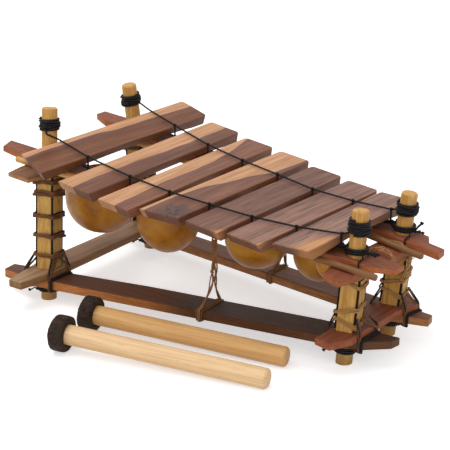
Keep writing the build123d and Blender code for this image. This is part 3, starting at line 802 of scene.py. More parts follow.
@dataclass
class Stand:
    """Posts, boards, canes and leg slats: their CAD shapes with wood and cane finishes."""

    foot_top: float = 0.030

    def dress_posts(self) -> None:
        """Cane on the posts and the split-cane leg slats."""
        for number, name in enumerate(POSTS):
            post = CaneFinish(f"post_cane_{name}", Grain.UPRIGHT, foot_top=self.foot_top, shift=0.9 * number)
            slats = CaneFinish(
                f"slat_cane_{name}", Grain.UPRIGHT, paint(222, 176, 98), paint(184, 132, 58), shift=2.0 + number
            )
            dress(f"post_{name}", post.make())
            dress(f"leg_slats_{name}", slats.make())

    def dress_boards(self) -> None:
        """Each board's own wood."""
        boards = {
            "bottom_rail_front": BoardFinish(
                "rail_front_wood", Grain.ALONG_X, paint(122, 76, 48), paint(84, 50, 34), paint(196, 126, 66),
                paint(160, 94, 44), 0.3, (-0.02, 0.05), paint(66, 42, 29)),
            "bottom_rail_back": BoardFinish(
                "rail_back_wood", Grain.ALONG_X, paint(146, 96, 68), paint(106, 68, 48), paint(188, 130, 80),
                paint(150, 98, 58), 1.3),
            "bottom_cross_rail_left": BoardFinish(
                "cross_left_wood", Grain.ALONG_Y, paint(186, 150, 116), paint(146, 110, 80), paint(156, 116, 76),
                paint(118, 84, 50), 2.1),
            "bottom_cross_rail_right": BoardFinish(
                "cross_right_wood", Grain.ALONG_Y, paint(162, 96, 66), paint(128, 70, 48), paint(168, 96, 60),
                paint(128, 68, 42), 3.7),
            "top_cross_rail_left": BoardFinish(
                "top_cross_left_wood", Grain.ALONG_Y, paint(146, 102, 72), paint(112, 74, 50), paint(194, 140, 84),
                paint(150, 102, 58), 4.2),
            "top_cross_rail_right": BoardFinish(
                "top_cross_right_wood", Grain.ALONG_Y, paint(156, 88, 60), paint(122, 64, 44), paint(168, 98, 56),
                paint(126, 70, 38), 5.9),
            "top_plank_front": BoardFinish(
                "plank_front_wood", Grain.ALONG_X, paint(152, 92, 62), paint(114, 64, 44), paint(190, 110, 64),
                paint(146, 80, 44), 6.5),
            "top_plank_back": BoardFinish(
                "plank_back_wood", Grain.ALONG_X, paint(156, 92, 62), paint(118, 64, 44), paint(188, 108, 66),
                paint(144, 78, 46), 7.1),
        }
        for node, finish in boards.items():
            dress(node, finish.make())
        for side, shift in (("front", 0.4), ("back", 1.7)):
            skin = CaneFinish(f"cane_{side}_skin", Grain.ALONG_X, shift=shift, turn_x=(-0.06, 0.08))
            dress(f"cane_{side}", skin.make())

    def make(self) -> None:
        """Dresses the whole stand."""
        self.dress_posts()
        self.dress_boards()


class Tie(Enum):
    """What a leg is bound with."""

    BARK = "bark"
    RAFFIA = "raffia"


@dataclass
class LegBindings:
    """What binds the slats of each leg: bark or raffia bands, four corner cords, and the
    cords that cross the boards at its base."""

    black: bpy.types.Material
    bark: bpy.types.Material
    raffia: bpy.types.Material
    cord_at: float = 10.6
    cord_radius: float = 1.1
    cord_pitch: float = 5.0
    band_inner: float = 11.95
    band_thick: float = 1.1
    squareness: float = 16.0
    strap_radius: float = 1.1

    ties = {
        "front_left": ((137, 5.0), (124, 6.5), (98, 4.6), (75, 4.2), (52, 5.0)),
        "back_left": ((139, 4.5), (118, 5.5), (95, 4.4), (73, 4.2), (50, 5.0)),
        "front_right": ((92, 4.4), (62, 5.5), (49, 5.5)),
        "back_right": ((94, 4.0), (80, 4.6), (67, 5.0), (54, 5.0)),
    }

    def loop(self, start: float, turns: float, inner: float, rise: float, lean: float, seed: int,
             tilt: float = 0.0) -> Array:
        """A line round a square leg.

        Its distance from the axis at angle t is the half side over the p-th root of
        |cos t|^p + |sin t|^p, growing by a band's thickness in a turn. Its height is the
        rise times the turns walked, plus a lean times sin t, a tilt times cos t, and a
        ripple.

        Args:
            start: the angle that it starts at.
            turns: how many times it goes round.
            inner: the half side of the square that it starts on.
            rise: how far it climbs in a turn.
            lean: how far it leans up towards the back.
            seed: sets its ripple.
            tilt: how far it leans up towards the right.

        Returns:
            Points about the leg's axis.
        """
        angle = start + np.linspace(0, 2 * math.pi * turns, int(110 * turns))
        walked = (angle - angle[0]) / (2 * math.pi)
        side = inner + walked * (self.band_thick + 0.1)
        power = self.squareness
        reach = side / (np.abs(np.cos(angle)) ** power + np.abs(np.sin(angle)) ** power) ** (1 / power)
        high = rise * walked + lean * np.sin(angle) + tilt * np.cos(angle) + 0.35 * ripple(2 * angle, seed)
        return np.stack([reach * np.cos(angle), reach * np.sin(angle), high], axis=1)

    def bark_band(self, post: PostLine, z: float, tall: float, seed: int) -> list[Patch]:
        """A flat strip of bark with a rounded section, a turn and a quarter round the leg,
        and a narrower second strip that crosses it."""
        angle = np.linspace(0, 2 * math.pi, 14, endpoint=False)
        high = np.sign(np.cos(angle)) * np.abs(np.cos(angle)) ** 0.5
        wide = np.sign(np.sin(angle)) * np.abs(np.sin(angle)) ** 0.5 * self.band_thick / 2
        patches = []
        for strip, share in enumerate((0.95, 0.5)):
            path = self.loop(0.8 + 2.1 * strip + seed, 1.25, self.band_inner + self.band_thick / 2 + 0.5 * strip,
                             (0.16 - 0.4 * strip) * tall, (0.12 - 0.4 * strip) * tall, seed + strip)
            path = post.local(path, z + (0.12 - 0.3 * strip) * tall, post.leg_turn)
            size = 1 + 0.2 * ripple(np.linspace(0, 11, len(path)), seed + 7)
            patches.append(swept(path, high * share * tall / 2, wide, post.along, False, size))
        return patches

    def raffia_band(self, post: PostLine, z: float, tall: float, seed: int) -> list[Patch]:
        """Four thin strands of raffia beside each other that tilt together across the leg."""
        patches = []
        for strand in range(4):
            tilt = 0.85 * tall * (1 if seed % 2 else -1) + 0.4 * (strand - 1.5)
            path = self.loop(seed + 0.5 * strand, 1.1, self.band_inner + 0.5 + 0.3 * (strand % 2),
                             0.5, 0.1 * tall, seed + strand, tilt)
            path = post.local(path, z + 0.2 * tall * (strand - 1.5), post.leg_turn)
            patches.append(tube(path, 0.55 + 0.08 * (strand % 2), post.along, 6))
        return patches

    def bark_straps(self, post: PostLine) -> list[Patch]:
        """Strips from the leg's left and right sides down to the inner corners of the boards."""
        here = CROSSINGS[post.name]
        x0 = post.foot[0]
        top = height_at(CROSS_TOP, x0)
        under = height_at(RAIL_UNDER, x0) - 1.2
        angle = np.linspace(0, 2 * math.pi, 12, endpoint=False)
        high, wide = 2.1 * np.cos(angle), 0.5 * np.sin(angle)
        patches = []
        for right in (False, True):
            for back in (False, True):
                sx, sy = (1 if right else -1), (1 if back else -1)
                corner = here.corner(right, back)
                for strip, aside in enumerate((9.5, 3.0)):
                    start = post.local(np.array([[sx * 12.9, sy * aside, 0.0]]), top + 17 - 5 * strip, post.leg_turn)[0]
                    edge = corner + np.array([sx * (1.2 + 0.9 * strip), sy * (1.6 - 1.8 * strip)])
                    beyond = corner + np.array([sx * (1.2 + 0.9 * strip), sy * 1.6])
                    foot = post.at(under)[:2]
                    tuck = foot + unit(beyond - foot) * (post.radius + 2.4)
                    route = np.array([start, (*edge, top - 2.0), (*beyond, top - 8.0), (*beyond, under), (*tuck, under)])
                    patches.append(swept(rounded(route, 2.5), high, wide, (0.0, 1.0, 0.0)))
        return patches

    def corner_cords(self, post: PostLine) -> list[Patch]:
        """Four laid cords up the corners, between the cross rails."""
        x = post.foot[0]
        low, high = height_at(CROSS_TOP, x) + 1.2, height_at(TOP_CROSS_UNDER, x) - 1.2
        length = (high - low) / post.along[2]
        patches = []
        for sx in (-1, 1):
            for sy in (-1, 1):
                z = np.linspace(0, length, 160)
                sway = 0.22 * ripple(z / 9, int(5 + sx + 2 * sy))
                line = np.stack([sx * self.cord_at + sway * 0.4, sy * self.cord_at - sway * 0.4, z], axis=1)
                patches += twisted(post.local(line, low, post.leg_turn), self.cord_radius, self.cord_pitch,
                                   reference=(1.0, 0.0, 0.0))
        return patches

    def black_loops(self, post: PostLine) -> list[Patch]:
        """Cord round the leg: two turns under the top cross rail and, on the left legs, one
        that climbs to the right beside each bark band."""
        x = post.foot[0]
        high = height_at(TOP_CROSS_UNDER, x) - 7.0
        wrap = self.loop(1.1, 2.1, self.band_inner + 0.2, 1.7, 0.3, 4, 0.8)
        patches = [tube(post.local(wrap, high, post.leg_turn), 0.85, post.along)]
        if post.left:
            for number, (z, _) in enumerate(self.ties[post.name][1:]):
                once = self.loop(2.2, 1.06, self.band_inner + 0.2, 0.3, 0.0, number, 2.6)
                patches.append(tube(post.local(once, z + 0.6, post.leg_turn), 0.8, post.along))
        return patches

    def edge_bundle(self, post: PostLine, right: bool) -> list[Patch]:
        """Three cords side by side on the rail along an edge of the cross rail, which go
        down both sides of the rail and under it to the post."""
        here = CROSSINGS[post.name]
        sx = 1 if right else -1
        radius = self.strap_radius
        near, far = here.corner(right, False), here.corner(right, True)
        top = height_at(RAIL_TOP, float(near[0])) + radius + 0.3
        under = height_at(RAIL_UNDER, post.foot[0]) - radius - 0.6
        foot = post.at(under)[:2]
        patches = []
        for lane in range(3):
            aside = sx * (radius + 0.2 + 1.7 * radius * lane)
            front = near + np.array([aside, -radius - 0.5])
            back = far + np.array([aside, radius + 0.5])
            ends = [foot + unit(spot - foot) * (post.radius + 1.8 + lane) for spot in (back, front)]
            lift = 0.5 * radius * (lane == 1)
            route = np.array([
                (*ends[0], under), (*back, under), (*back, top - 1.5), (*(back - (0, 2.5)), top + lift),
                (*(front + (0, 2.5)), top + lift), (*front, top - 1.5), (*front, under), (*ends[1], under),
            ])
            patches += twisted(rounded(route, 1.8), radius, self.cord_pitch, reference=(1.0, 0.0, 0.0))
        return patches

    def base_straps(self, post: PostLine) -> list[Patch]:
        """Cords from the leg's corners, over the cross rail, down the inner corner between
        the two boards and under the rail to the wound cord below it."""
        crossing_here = CROSSINGS[post.name]
        x0 = post.foot[0]
        top = height_at(CROSS_TOP, x0) + self.strap_radius + 0.3
        under = height_at(RAIL_UNDER, x0) - self.strap_radius - 0.5
        patches = []
        for right in (False, True):
            for back in (False, True):
                corner = crossing_here.corner(right, back)
                axis = post.at(top)[:2]
                out = unit(corner - axis)
                sx, sy = (1 if right else -1), (1 if back else -1)
                start = post.local(np.array([[sx * 12.4, sy * 12.4, 0.0]]), top + 15, post.leg_turn)[0]
                over = corner + np.array([sx, sy]) * 0.75 * self.strap_radius
                outer = corner + np.array([sx, sy]) * (0.75 * self.strap_radius + 0.7)
                foot = post.at(under)[:2]
                tuck = foot + unit(outer - foot) * (post.radius + 1.6)
                route = [
                    start, (*over, top + 0.5), (*outer, top - 3.0), (*outer, under + 1.5),
                    (*(outer - out * 3.0), under), (*tuck, under - 0.6),
                ]
                path = rounded(np.array([tuple(p) for p in route]), 2.2)
                patches += twisted(path, self.strap_radius, self.cord_pitch, reference=(*out[::-1] * (1, -1), 0.0))
        return patches

    def tie_kind(self, post: PostLine) -> Tie:
        """The left legs are bound with bark and the right ones with raffia."""
        return Tie.BARK if post.left else Tie.RAFFIA

    def make(self) -> None:
        """Builds the bindings of the four legs."""
        for number, (name, post) in enumerate(POSTS.items()):
            kind = self.tie_kind(post)
            wrap = self.bark_band if kind is Tie.BARK else self.raffia_band
            bands = [p for i, (z, tall) in enumerate(self.ties[name]) for p in wrap(post, z, tall, 11 * number + i)]
            finish = self.bark if kind is Tie.BARK else self.raffia
            build(f"leg_bands_{name}", bands, finish, "stand", (f"leg_ties_{name}",))
            build(f"bark_straps_{name}", self.bark_straps(post), self.bark, "stand")
            build(f"corner_cords_{name}", self.corner_cords(post) + self.black_loops(post), self.black, "stand",
                  (f"leg_corner_cords_{name}",))
            straps = self.base_straps(post) + self.edge_bundle(post, False) + self.edge_bundle(post, True)
            build(f"base_straps_{name}", straps, self.black, "stand")


@dataclass
class Windings:
    """Black cord wound round the posts: the bands near the tops, the rings on the right
    planks and the turns below the bottom rails."""

    black: bpy.types.Material
    cord: float = 1.1
    over_cord: float = 0.8
    pitch: float = 2.25

    bands = {"front_left": (196.0, 6.0), "back_left": (193.0, 6.0), "front_right": (143.5, 7.0),
             "back_right": (142.0, 6.0)}
    rings = {"front_right": 7.0, "back_right": 8.0}

    def wound(self, post: PostLine, z: float, turns: float, layer: int, seed: int, lean: float = 0.0) -> Patch:
        """One layer of a winding.

        At angle t its distance from the axis is the post's radius plus the cord's and the
        layers below. Its height is the pitch times the turns walked, plus a lean that goes
        up and down once in a turn, and both ripple.

        Args:
            post: the post that it is wound on.
            z: the height that it starts at.
            turns: how many times it goes round.
            layer: 0 on the post, 1 on the cord of layer 0.
            seed: sets where it starts and its ripple.
            lean: how far a turn tilts up and down.

        Returns:
            The cord.
        """
        cord = self.cord if layer == 0 else self.over_cord
        angle = np.linspace(0, 2 * math.pi * turns, int(40 * turns)) + seed
        walked = (angle - seed) / (2 * math.pi)
        reach = post.radius + SEAT + self.cord + 1.35 * self.cord * layer + 0.1 * (1 + ripple(angle, seed))
        high = self.pitch * walked * (1 if layer == 0 else 1.35) + (0.2 + 0.3 * layer) * ripple(0.8 * angle, seed + 3)
        high = high + lean * np.sin(angle)
        helix = np.stack([reach * np.cos(angle), reach * np.sin(angle), high], axis=1)
        return tube(post.local(helix, z), cord, post.along)

    def post_band(self, name: str) -> None:
        """The band near a post's top: two layers and a knot."""
        post = POSTS[name]
        z, turns = self.bands[name]
        seed = len(name)
        patches = [
            self.wound(post, z, turns, 0, seed),
            self.wound(post, z + 2.2, 1.6, 1, seed + 1, 1.7),
            self.wound(post, z + 6.0, 1.7, 1, seed + 2, -2.3),
            knot(post.local(np.array([[4.0, -11.4, 0.35 * turns * self.pitch]]), z)[0], 2.1, 0.8, 0.4),
        ]
        build(f"post_band_{name}", patches, self.black, "stand", (f"post_lashing_{name}",))

    def foot_turns(self, name: str) -> None:
        """The turns round a post below the bottom rail, and their knot."""
        post = POSTS[name]
        z = height_at(RAIL_UNDER, post.foot[0]) - 8.3
        patches = [self.wound(post, z, 2.6, 0, 5 + len(name)), self.wound(post, z + 1.2, 1.3, 1, 9 + len(name))]
        where = post.local(np.array([[-9.0, -8.6, 2.0]]), z)[0]
        tail = rounded(np.array([where, where + (-3.5, -2.5, 1.6), where + (-7.0, -3.4, -0.6),
                                 where + (-10.0, -3.8, -2.4)]), 1.0)
        patches += [knot(where, 2.4, 0.9, 0.9), *twisted(tail, 0.9, 4.0), knot(tail[-1], 1.4, 0.7, 0.2)]
        build(f"foot_turns_{name}", patches, self.black, "stand", (f"foot_lashing_{name}",))

    def plank_ring(self, name: str) -> None:
        """The ring on a right plank, its bundle towards the keys, the loop over the plank
        beside the post, and a loose end."""
        post = POSTS[name]
        thick = self.rings[name]
        x = float(post.at(120.0)[0])
        top = height_at(DECK_LEVEL, x) + thick
        ring_z = top + 3.4
        patches = [self.wound(post, ring_z, 3.1, 0, 3), self.wound(post, ring_z + 0.8, 2.2, 1, 8)]
        axis = post.at(ring_z + 2)
        heading = np.array([-0.99, -0.12 if name == "front_right" else 0.1, 0.0])
        side = np.array([-heading[1], heading[0], 0.0])
        for strand in range(5):
            spread = (strand - 2) * 2.0
            climb = 1.4 * (strand % 3)
            route = np.array([
                axis + side * (spread * 1.6) - heading * 2 * (strand % 2) + heading * 10.8 + (0, 0, climb),
                axis + side * spread + heading * 17 + (0, 0, climb + 1.2),
                axis + side * (spread * 0.5) + heading * 24 + (0, 0, climb + 0.4 * strand),
                axis + side * (1.5 - spread * 0.3) + heading * 30 + (0, 0, climb + 2.0),
            ])
            patches += twisted(rounded(route, 3.0), 1.0, 4.0)
        patches.append(knot(axis + heading * 15 + (0, 0, 2.4), 3.0, 1.0, 0.3))
        beside = x + 12.0
        low = height_at(DECK_LEVEL, beside) - 1.5
        high = height_at(DECK_LEVEL, beside) + thick + 1.5
        outline = (
            ((-254, -74), (-246.6, -95), (-200, -99.5), (220, -52), (242, -36.5), (243, -20))
            if name == "front_right"
            else ((-249, 92), (-249, 76), (-228, 66), (256.5, 31.0), (254.8, 47), (235.5, 49), (227, 64.6),
                  (-192, 97.5))
        )
        near, far = crossing(outline, 0, beside)
        start = post.local(np.array([[10.0, -4.0, 0.0]]), ring_z)[0]
        loop = np.array([
            start, (beside, near + 7, high + 0.6), (beside, near - 1.6, high), (beside, near - 1.6, low),
            (beside, far + 1.6, low), (beside, far + 1.6, high), (beside - 2, far - 8, high + 0.4),
            post.local(np.array([[10.0, 4.0, 0.6]]), ring_z)[0],
        ])
        patches += twisted(rounded(loop, 2.0), 1.0, 4.0, reference=(1.0, 0.05, 0.1))
        end = post.local(np.array([[10.5, 1.0, 1.8]]), ring_z)[0]
        reaches = [(13.0, 2.4, 0.2), (11.0, 0.0, -1.0)] if name == "front_right" else [(9.5, 1.4, 10.0), (12.0, 0.0, 0.0)]
        for number, way in enumerate(reaches):
            reach = np.array(way)
            stub = rounded(np.array([end, end + reach * (0.3, 0.3, 0.15), end + reach * 0.6, end + reach]), 2.0)
            patches += twisted(stub, 1.3 - 0.2 * number, 4.0, reference=(0.0, 1.0, 0.0))
            patches.append(knot(stub[-1], 1.6 - 0.4 * number, 0.8, 0.5))
        build(f"plank_ring_{name}", patches, self.black, "stand", (f"plank_lashing_{name}",))

    def make(self) -> None:
        """Builds all the windings."""
        for name in POSTS:
            self.post_band(name)
            self.foot_turns(name)
        for name in self.rings:
            self.plank_ring(name)


@dataclass(frozen=True)
class KeyLine:
    """The line of key tops: where it bends, in x and z, and its pitch from front to back."""

    bends_x: tuple = (-180.0, -131.6, -68.2, -13.5, 35.4, 86.0, 135.0, 182.3)
    bends_z: tuple = (187.0, 172.3, 162.8, 155.9, 150.4, 145.2, 141.3, 140.4)
    pitch: float = 0.012
    pitch_from: float = -75.0
    drop: float = 0.4
    lift: float = 1.0
    at_cord: float = 9.7

    def slopes(self) -> Array:
        """Slope of each part of the line."""
        return np.diff(self.bends_z) / np.diff(self.bends_x)

    def height(self, x: float, y: float) -> float:
        """Height of the line at a point in plan, straight on past its ends."""
        part = int(np.clip(np.searchsorted(self.bends_x, x, side="right") - 1, 0, len(self.bends_x) - 2))
        return self.bends_z[part] + self.slopes()[part] * (x - self.bends_x[part]) + self.pitch * (y - self.pitch_from)

    def cord(self, x: float, y: float, side: int) -> float:
        """Centre height of the upper (1) or lower (-1) suspension cord."""
        low, high = np.array(self.bends_x[:-1]) - 8, np.array(self.bends_x[1:]) + 8
        near = (low <= x) & (x <= high)
        steep = float(np.abs(self.slopes()[near]).max()) if near.any() else 0.0
        lean = math.sqrt(1 + steep**2)
        surface = self.height(x, y) - self.drop
        if side > 0:
            return surface + self.lift + (SEAT + 1.0) * lean
        return surface - (self.at_cord + SEAT + 1.0) * lean


KEY_LINE = KeyLine()


@dataclass
class KeyRow:
    """The seven keys: their CAD bars, each with its own two-tone wood."""

    keys: tuple = (
        ((-156.0, -145.9), (-149.6, 148.2), 41.2),
        ((-90.9, -151.3), (-92.2, 134.1), 43.2),
        ((-36.0, -152.4), (-35.8, 126.4), 41.0),
        ((10.3, -133.5), (17.4, 123.4), 42.6),
        ((61.1, -127.3), (69.2, 110.9), 42.0),
        ((109.1, -121.9), (121.6, 103.9), 41.0),
        ((157.4, -106.7), (167.2, 98.2), 41.0),
    )
    lines: tuple = (
        ((0.0, 0.17), (0.3, 0.22), (0.7, 0.3), (1.0, 0.38)),
        ((0.0, 0.46), (0.3, 0.42), (0.55, 0.5), (1.0, 0.56)),
        ((0.0, 0.58), (0.25, 0.46), (0.5, 0.5), (0.72, 0.42), (0.86, 0.3), (1.0, 0.1)),
        ((0.0, 0.14), (0.2, 0.1), (0.34, 0.16), (0.5, 0.42), (0.66, 0.62), (0.8, 0.82), (1.0, 0.88)),
        ((0.0, 0.0), (1.0, 0.0)),
        ((0.0, 0.0), (1.0, 0.0)),
        ((0.0, 0.0), (0.6, 0.0), (1.0, 0.06)),
    )
    hearts: tuple = (
        (paint(130, 80, 52), paint(98, 58, 38)),
        (paint(128, 78, 52), paint(96, 58, 40)),
        (paint(146, 94, 68), paint(110, 70, 52)),
        (paint(140, 90, 68), paint(106, 68, 52)),
        (paint(142, 98, 80), paint(96, 60, 48)),
        (paint(162, 120, 102), paint(120, 82, 68)),
        (paint(168, 128, 110), paint(128, 90, 76)),
    )

    def turned(self, index: int) -> tuple[Array, Matrix, float]:
        """A key's middle on its top, its directions (across, along, up), and its length."""
        near, far, _ = self.keys[index]
        slope = float(KEY_LINE.slopes()[index])
        run, reach = far[0] - near[0], far[1] - near[1]
        along = np.array([run, reach, slope * run + KEY_LINE.pitch * reach])
        normal = unit(np.array([-slope, -KEY_LINE.pitch, 1.0]))
        length = float(np.linalg.norm(along))
        along = along / length
        across = unit(np.cross(along, normal))
        x, y = (near[0] + far[0]) / 2, (near[1] + far[1]) / 2
        z = KEY_LINE.bends_z[index] + slope * (x - KEY_LINE.bends_x[index])
        z += KEY_LINE.pitch * (y - KEY_LINE.pitch_from) - KEY_LINE.drop
        directions = Matrix((Vector(across), Vector(along), Vector(normal))).transposed()
        return np.array([x, y, z]), directions, length

    def make(self) -> None:
        """Dresses each key."""
        knots = {3: (0.009, -0.113, 0.020)}
        painted_highlights = {4: (0.024, -0.122, 0.014), 5: (0.024, -0.114, 0.010), 6: (0.022, -0.085, 0.026)}
        for index, (near, far, width) in enumerate(self.keys):
            middle, directions, length = self.turned(index)
            finish = KeyFinish(
                f"key_wood_{index + 1}", tuple(placed(middle)), tuple(directions.to_euler()), length * MM,
                width * MM, self.lines[index], *self.hearts[index], knot_at=knots.get(index),
                painted_highlight_at=painted_highlights.get(index), shift=1.7 * index + 0.4, lined=0.6 if index > 3 else 0.25,
            )
            dress(f"key_{index + 1}", finish.make())


@dataclass
class SuspensionCords:
    """On each side of the row a laid cord over the keys, one under them, and a wrapped link
    between each two keys."""

    black: bpy.types.Material
    radius: float = 1.13
    pitch: float = 5.5
    over_post: float = 10.4

    sides = {
        "front": (
            "front_left", "front_right",
            ((-131.6, -78.4), (-68.2, -82.0), (-13.5, -81.6), (35.4, -76.0), (86.0, -69.4), (135.0, -58.4),
             (182.3, -46.4)),
            ((-184.9, -87.2, 199.5), (-183.5, -90.3, 194.5), (-174.5, -79.0)),
        ),
        "back": (
            "back_left", "back_right",
            ((-129.6, 80.8), (-68.5, 64.8), (-13.5, 57.0), (38.2, 52.5), (89.6, 45.4), (140.8, 47.0),
             (187.2, 49.8)),
            ((-185.4, 80.2, 201.0), (-182.6, 78.8, 196.0), (-170.5, 82.6)),
        ),
    }

    def beside(self, post: PostLine, z: float, target: tuple[float, float], distance: float) -> tuple:
        """A point at a distance from a post's axis, level with z, towards a target in plan."""
        axis = post.at(z)[:2]
        spot = axis + unit(np.array(target) - axis) * distance
        return (float(spot[0]), float(spot[1]), z)

    def link(self, x: float, y: float) -> list[Patch]:
        """A link between two keys: a laid cord with three wraps round the upper cord."""
        top, bottom = KEY_LINE.cord(x, y, 1), KEY_LINE.cord(x, y, -1)
        spots = np.array([(x, y, bottom - 0.4), (x, y, (top + bottom) / 2), (x, y, top + 0.4)])
        patches = twisted(even(spots, 0.6), 1.15, 4.0, reference=(1.0, 0.0, 0.0))
        for z, size in ((top, 1.0), (bottom, 0.9)):
            angle = np.linspace(0, 2 * math.pi * 2.4, 70)
            reach = (self.radius + 0.45) * size
            wraps = np.stack(
                [x - 1.3 + 2.6 * np.linspace(0, 1, 70), y + reach * np.cos(angle), z + reach * np.sin(angle)], axis=1
            )
            patches.append(tube(wraps, 0.55, (1.0, 0.0, 0.0), 6))
        return patches

    def make(self) -> None:
        """Builds both sides."""
        for side, (left, right, bends, lead) in self.sides.items():
            start = [*lead[:2], (*lead[2], KEY_LINE.cord(*lead[2], 1))]
            upper = start + [(x, y, KEY_LINE.cord(x, y, 1)) for x, y in bends]
            upper.append(self.beside(POSTS[right], upper[-1][2] + 1.5, bends[-1], self.over_post))
            first = KEY_LINE.cord(-176.0, bends[0][1], -1)
            lower = [self.beside(POSTS[left], first, bends[0], POSTS[left].radius + SEAT)]
            lower += [(x, y, KEY_LINE.cord(x, y, -1)) for x, y in bends]
            lower.append(self.beside(POSTS[right], lower[-1][2], bends[-1], self.over_post))
            patches = twisted(rounded(np.array(upper), 7.0), self.radius, self.pitch)
            patches += twisted(rounded(np.array(lower), 7.0), 1.0, self.pitch)
            for x, y in bends:
                patches += self.link(x, y)
            build(f"key_cords_{side}", patches, self.black, "stand", (f"suspension_{side}",))


@dataclass
class Gourds:
    """Five open gourd bowls under the keys and the cords that carry them."""

    shell: bpy.types.Material
    black: bpy.types.Material
    wall: float = 2.5
    rim: float = 0.7
    around: int = 72
    hanger: float = 1.0

    bowls = (
        ((-168.1, -12.0, 102.2), 44.3), ((-73.6, -5.0, 90.7), 38.3), ((50.5, -5.0, 98.6), 37.4),
        ((116.5, 22.0, 83.6), 30.5), ((160.4, -24.0, 98.5), 18.6),
    )
    front_line = ((-186.0, -83.5), (196.0, -39.7))
    back_line = ((-192.0, 82.0), (203.0, 51.1))

    def bowl(self, centre: tuple, radius: float, seed: int) -> Patch:
        """An uneven bowl.

        The profile goes from under the outside up to the rim, over it, and down the inside.
        Its polar radius is the gourd's less the wall inside, and all of it shrinks by a few
        percent in slow waves round the bowl and up it. Waves fade at the two poles.
        """
        top = math.asin(self.rim)
        up = np.linspace(-math.pi / 2 + 0.03, top, 40)
        edge = np.linspace(0.15, 0.85, 5)
        down = np.linspace(top, -math.pi / 2 + 0.03, 36)
        polar = np.concatenate([up, np.full(5, top + 0.012), down])
        reach = np.concatenate([np.full(40, radius), radius - edge * self.wall, np.full(36, radius - self.wall)])
        turn = np.linspace(0, 2 * math.pi, self.around, endpoint=False)
        rng = np.random.default_rng(seed)
        phase = rng.uniform(0, 2 * math.pi, 4)
        swell = (
            np.sin(2 * turn[None, :] + phase[0] + polar[:, None]) + 0.6 * np.sin(3 * turn[None, :] + phase[1])
            + 0.5 * np.sin(5 * turn[None, :] + 2 * polar[:, None] + phase[2])
        )
        uneven = 1 - 0.011 * (2.1 - swell) * np.cos(polar)[:, None]
        size = reach[:, None] * uneven
        flat = size * np.cos(polar)[:, None]
        points = np.stack(
            [flat * np.cos(turn), flat * np.sin(turn), size * np.sin(polar)[:, None] * np.ones_like(turn)], axis=-1
        )
        return grid(points + np.array(centre), lengths(points[:, 0]))

    def scar(self, centre: tuple, radius: float) -> Patch:
        """The dried stalk end under the bowl: a small low button."""
        t = np.linspace(0, 1, 8)
        reach = 2.3 * np.sqrt(1 - 0.97 * t)
        path = np.array(centre) + np.stack([0 * t, 0 * t, -(0.975 * radius) - 1.2 * t], axis=1)
        return tube(path, reach, (1.0, 0.0, 0.0), 14)

    def hangers(self, centre: tuple, radius: float) -> list[Patch]:
        """Two laid cords from knots inside the bowl, out through its wall, up to the planks."""
        z = centre[2] + radius * self.rim - 6.0
        inside = math.sqrt((radius - self.wall) ** 2 - (z - centre[2]) ** 2)
        outside = math.sqrt(radius**2 - (z - centre[2]) ** 2)
        patches = []
        for side, ((x0, y0), (x1, y1)) in ((-1, self.front_line), (1, self.back_line)):
            x = centre[0]
            y = y0 + (y1 - y0) * (x - x0) / (x1 - x0)
            high = height_at(DECK_LEVEL, x) - SEAT - self.hanger
            route = np.array([
                (x, centre[1] + side * (inside - 3.2), z), (x, centre[1] + side * (outside + 2.6), z),
                (x, y - side * 1.0, high),
            ])
            patches += twisted(rounded(route, 3.0), self.hanger, 4.5, reference=(1.0, 0.0, 0.0))
            patches.append(knot(route[0], 2.3, 0.9, 1.2))
            patches.append(knot((x, y - side * 1.0, high - 0.8), 2.1, 0.8, 0.3))
        return patches

    def make(self) -> None:
        """Builds the bowls and the hangers."""
        cords: list[Patch] = []
        for index, (centre, radius) in enumerate(self.bowls):
            name = f"gourd_{index + 1}"
            build(f"bowl_{index + 1}", [self.bowl(centre, radius, 20 + index), self.scar(centre, radius)],
                  self.shell, "stand", (name,))
            cords += self.hangers(centre, radius)
        build("bowl_hangers", cords, self.black, "stand", ("gourd_hangers",))


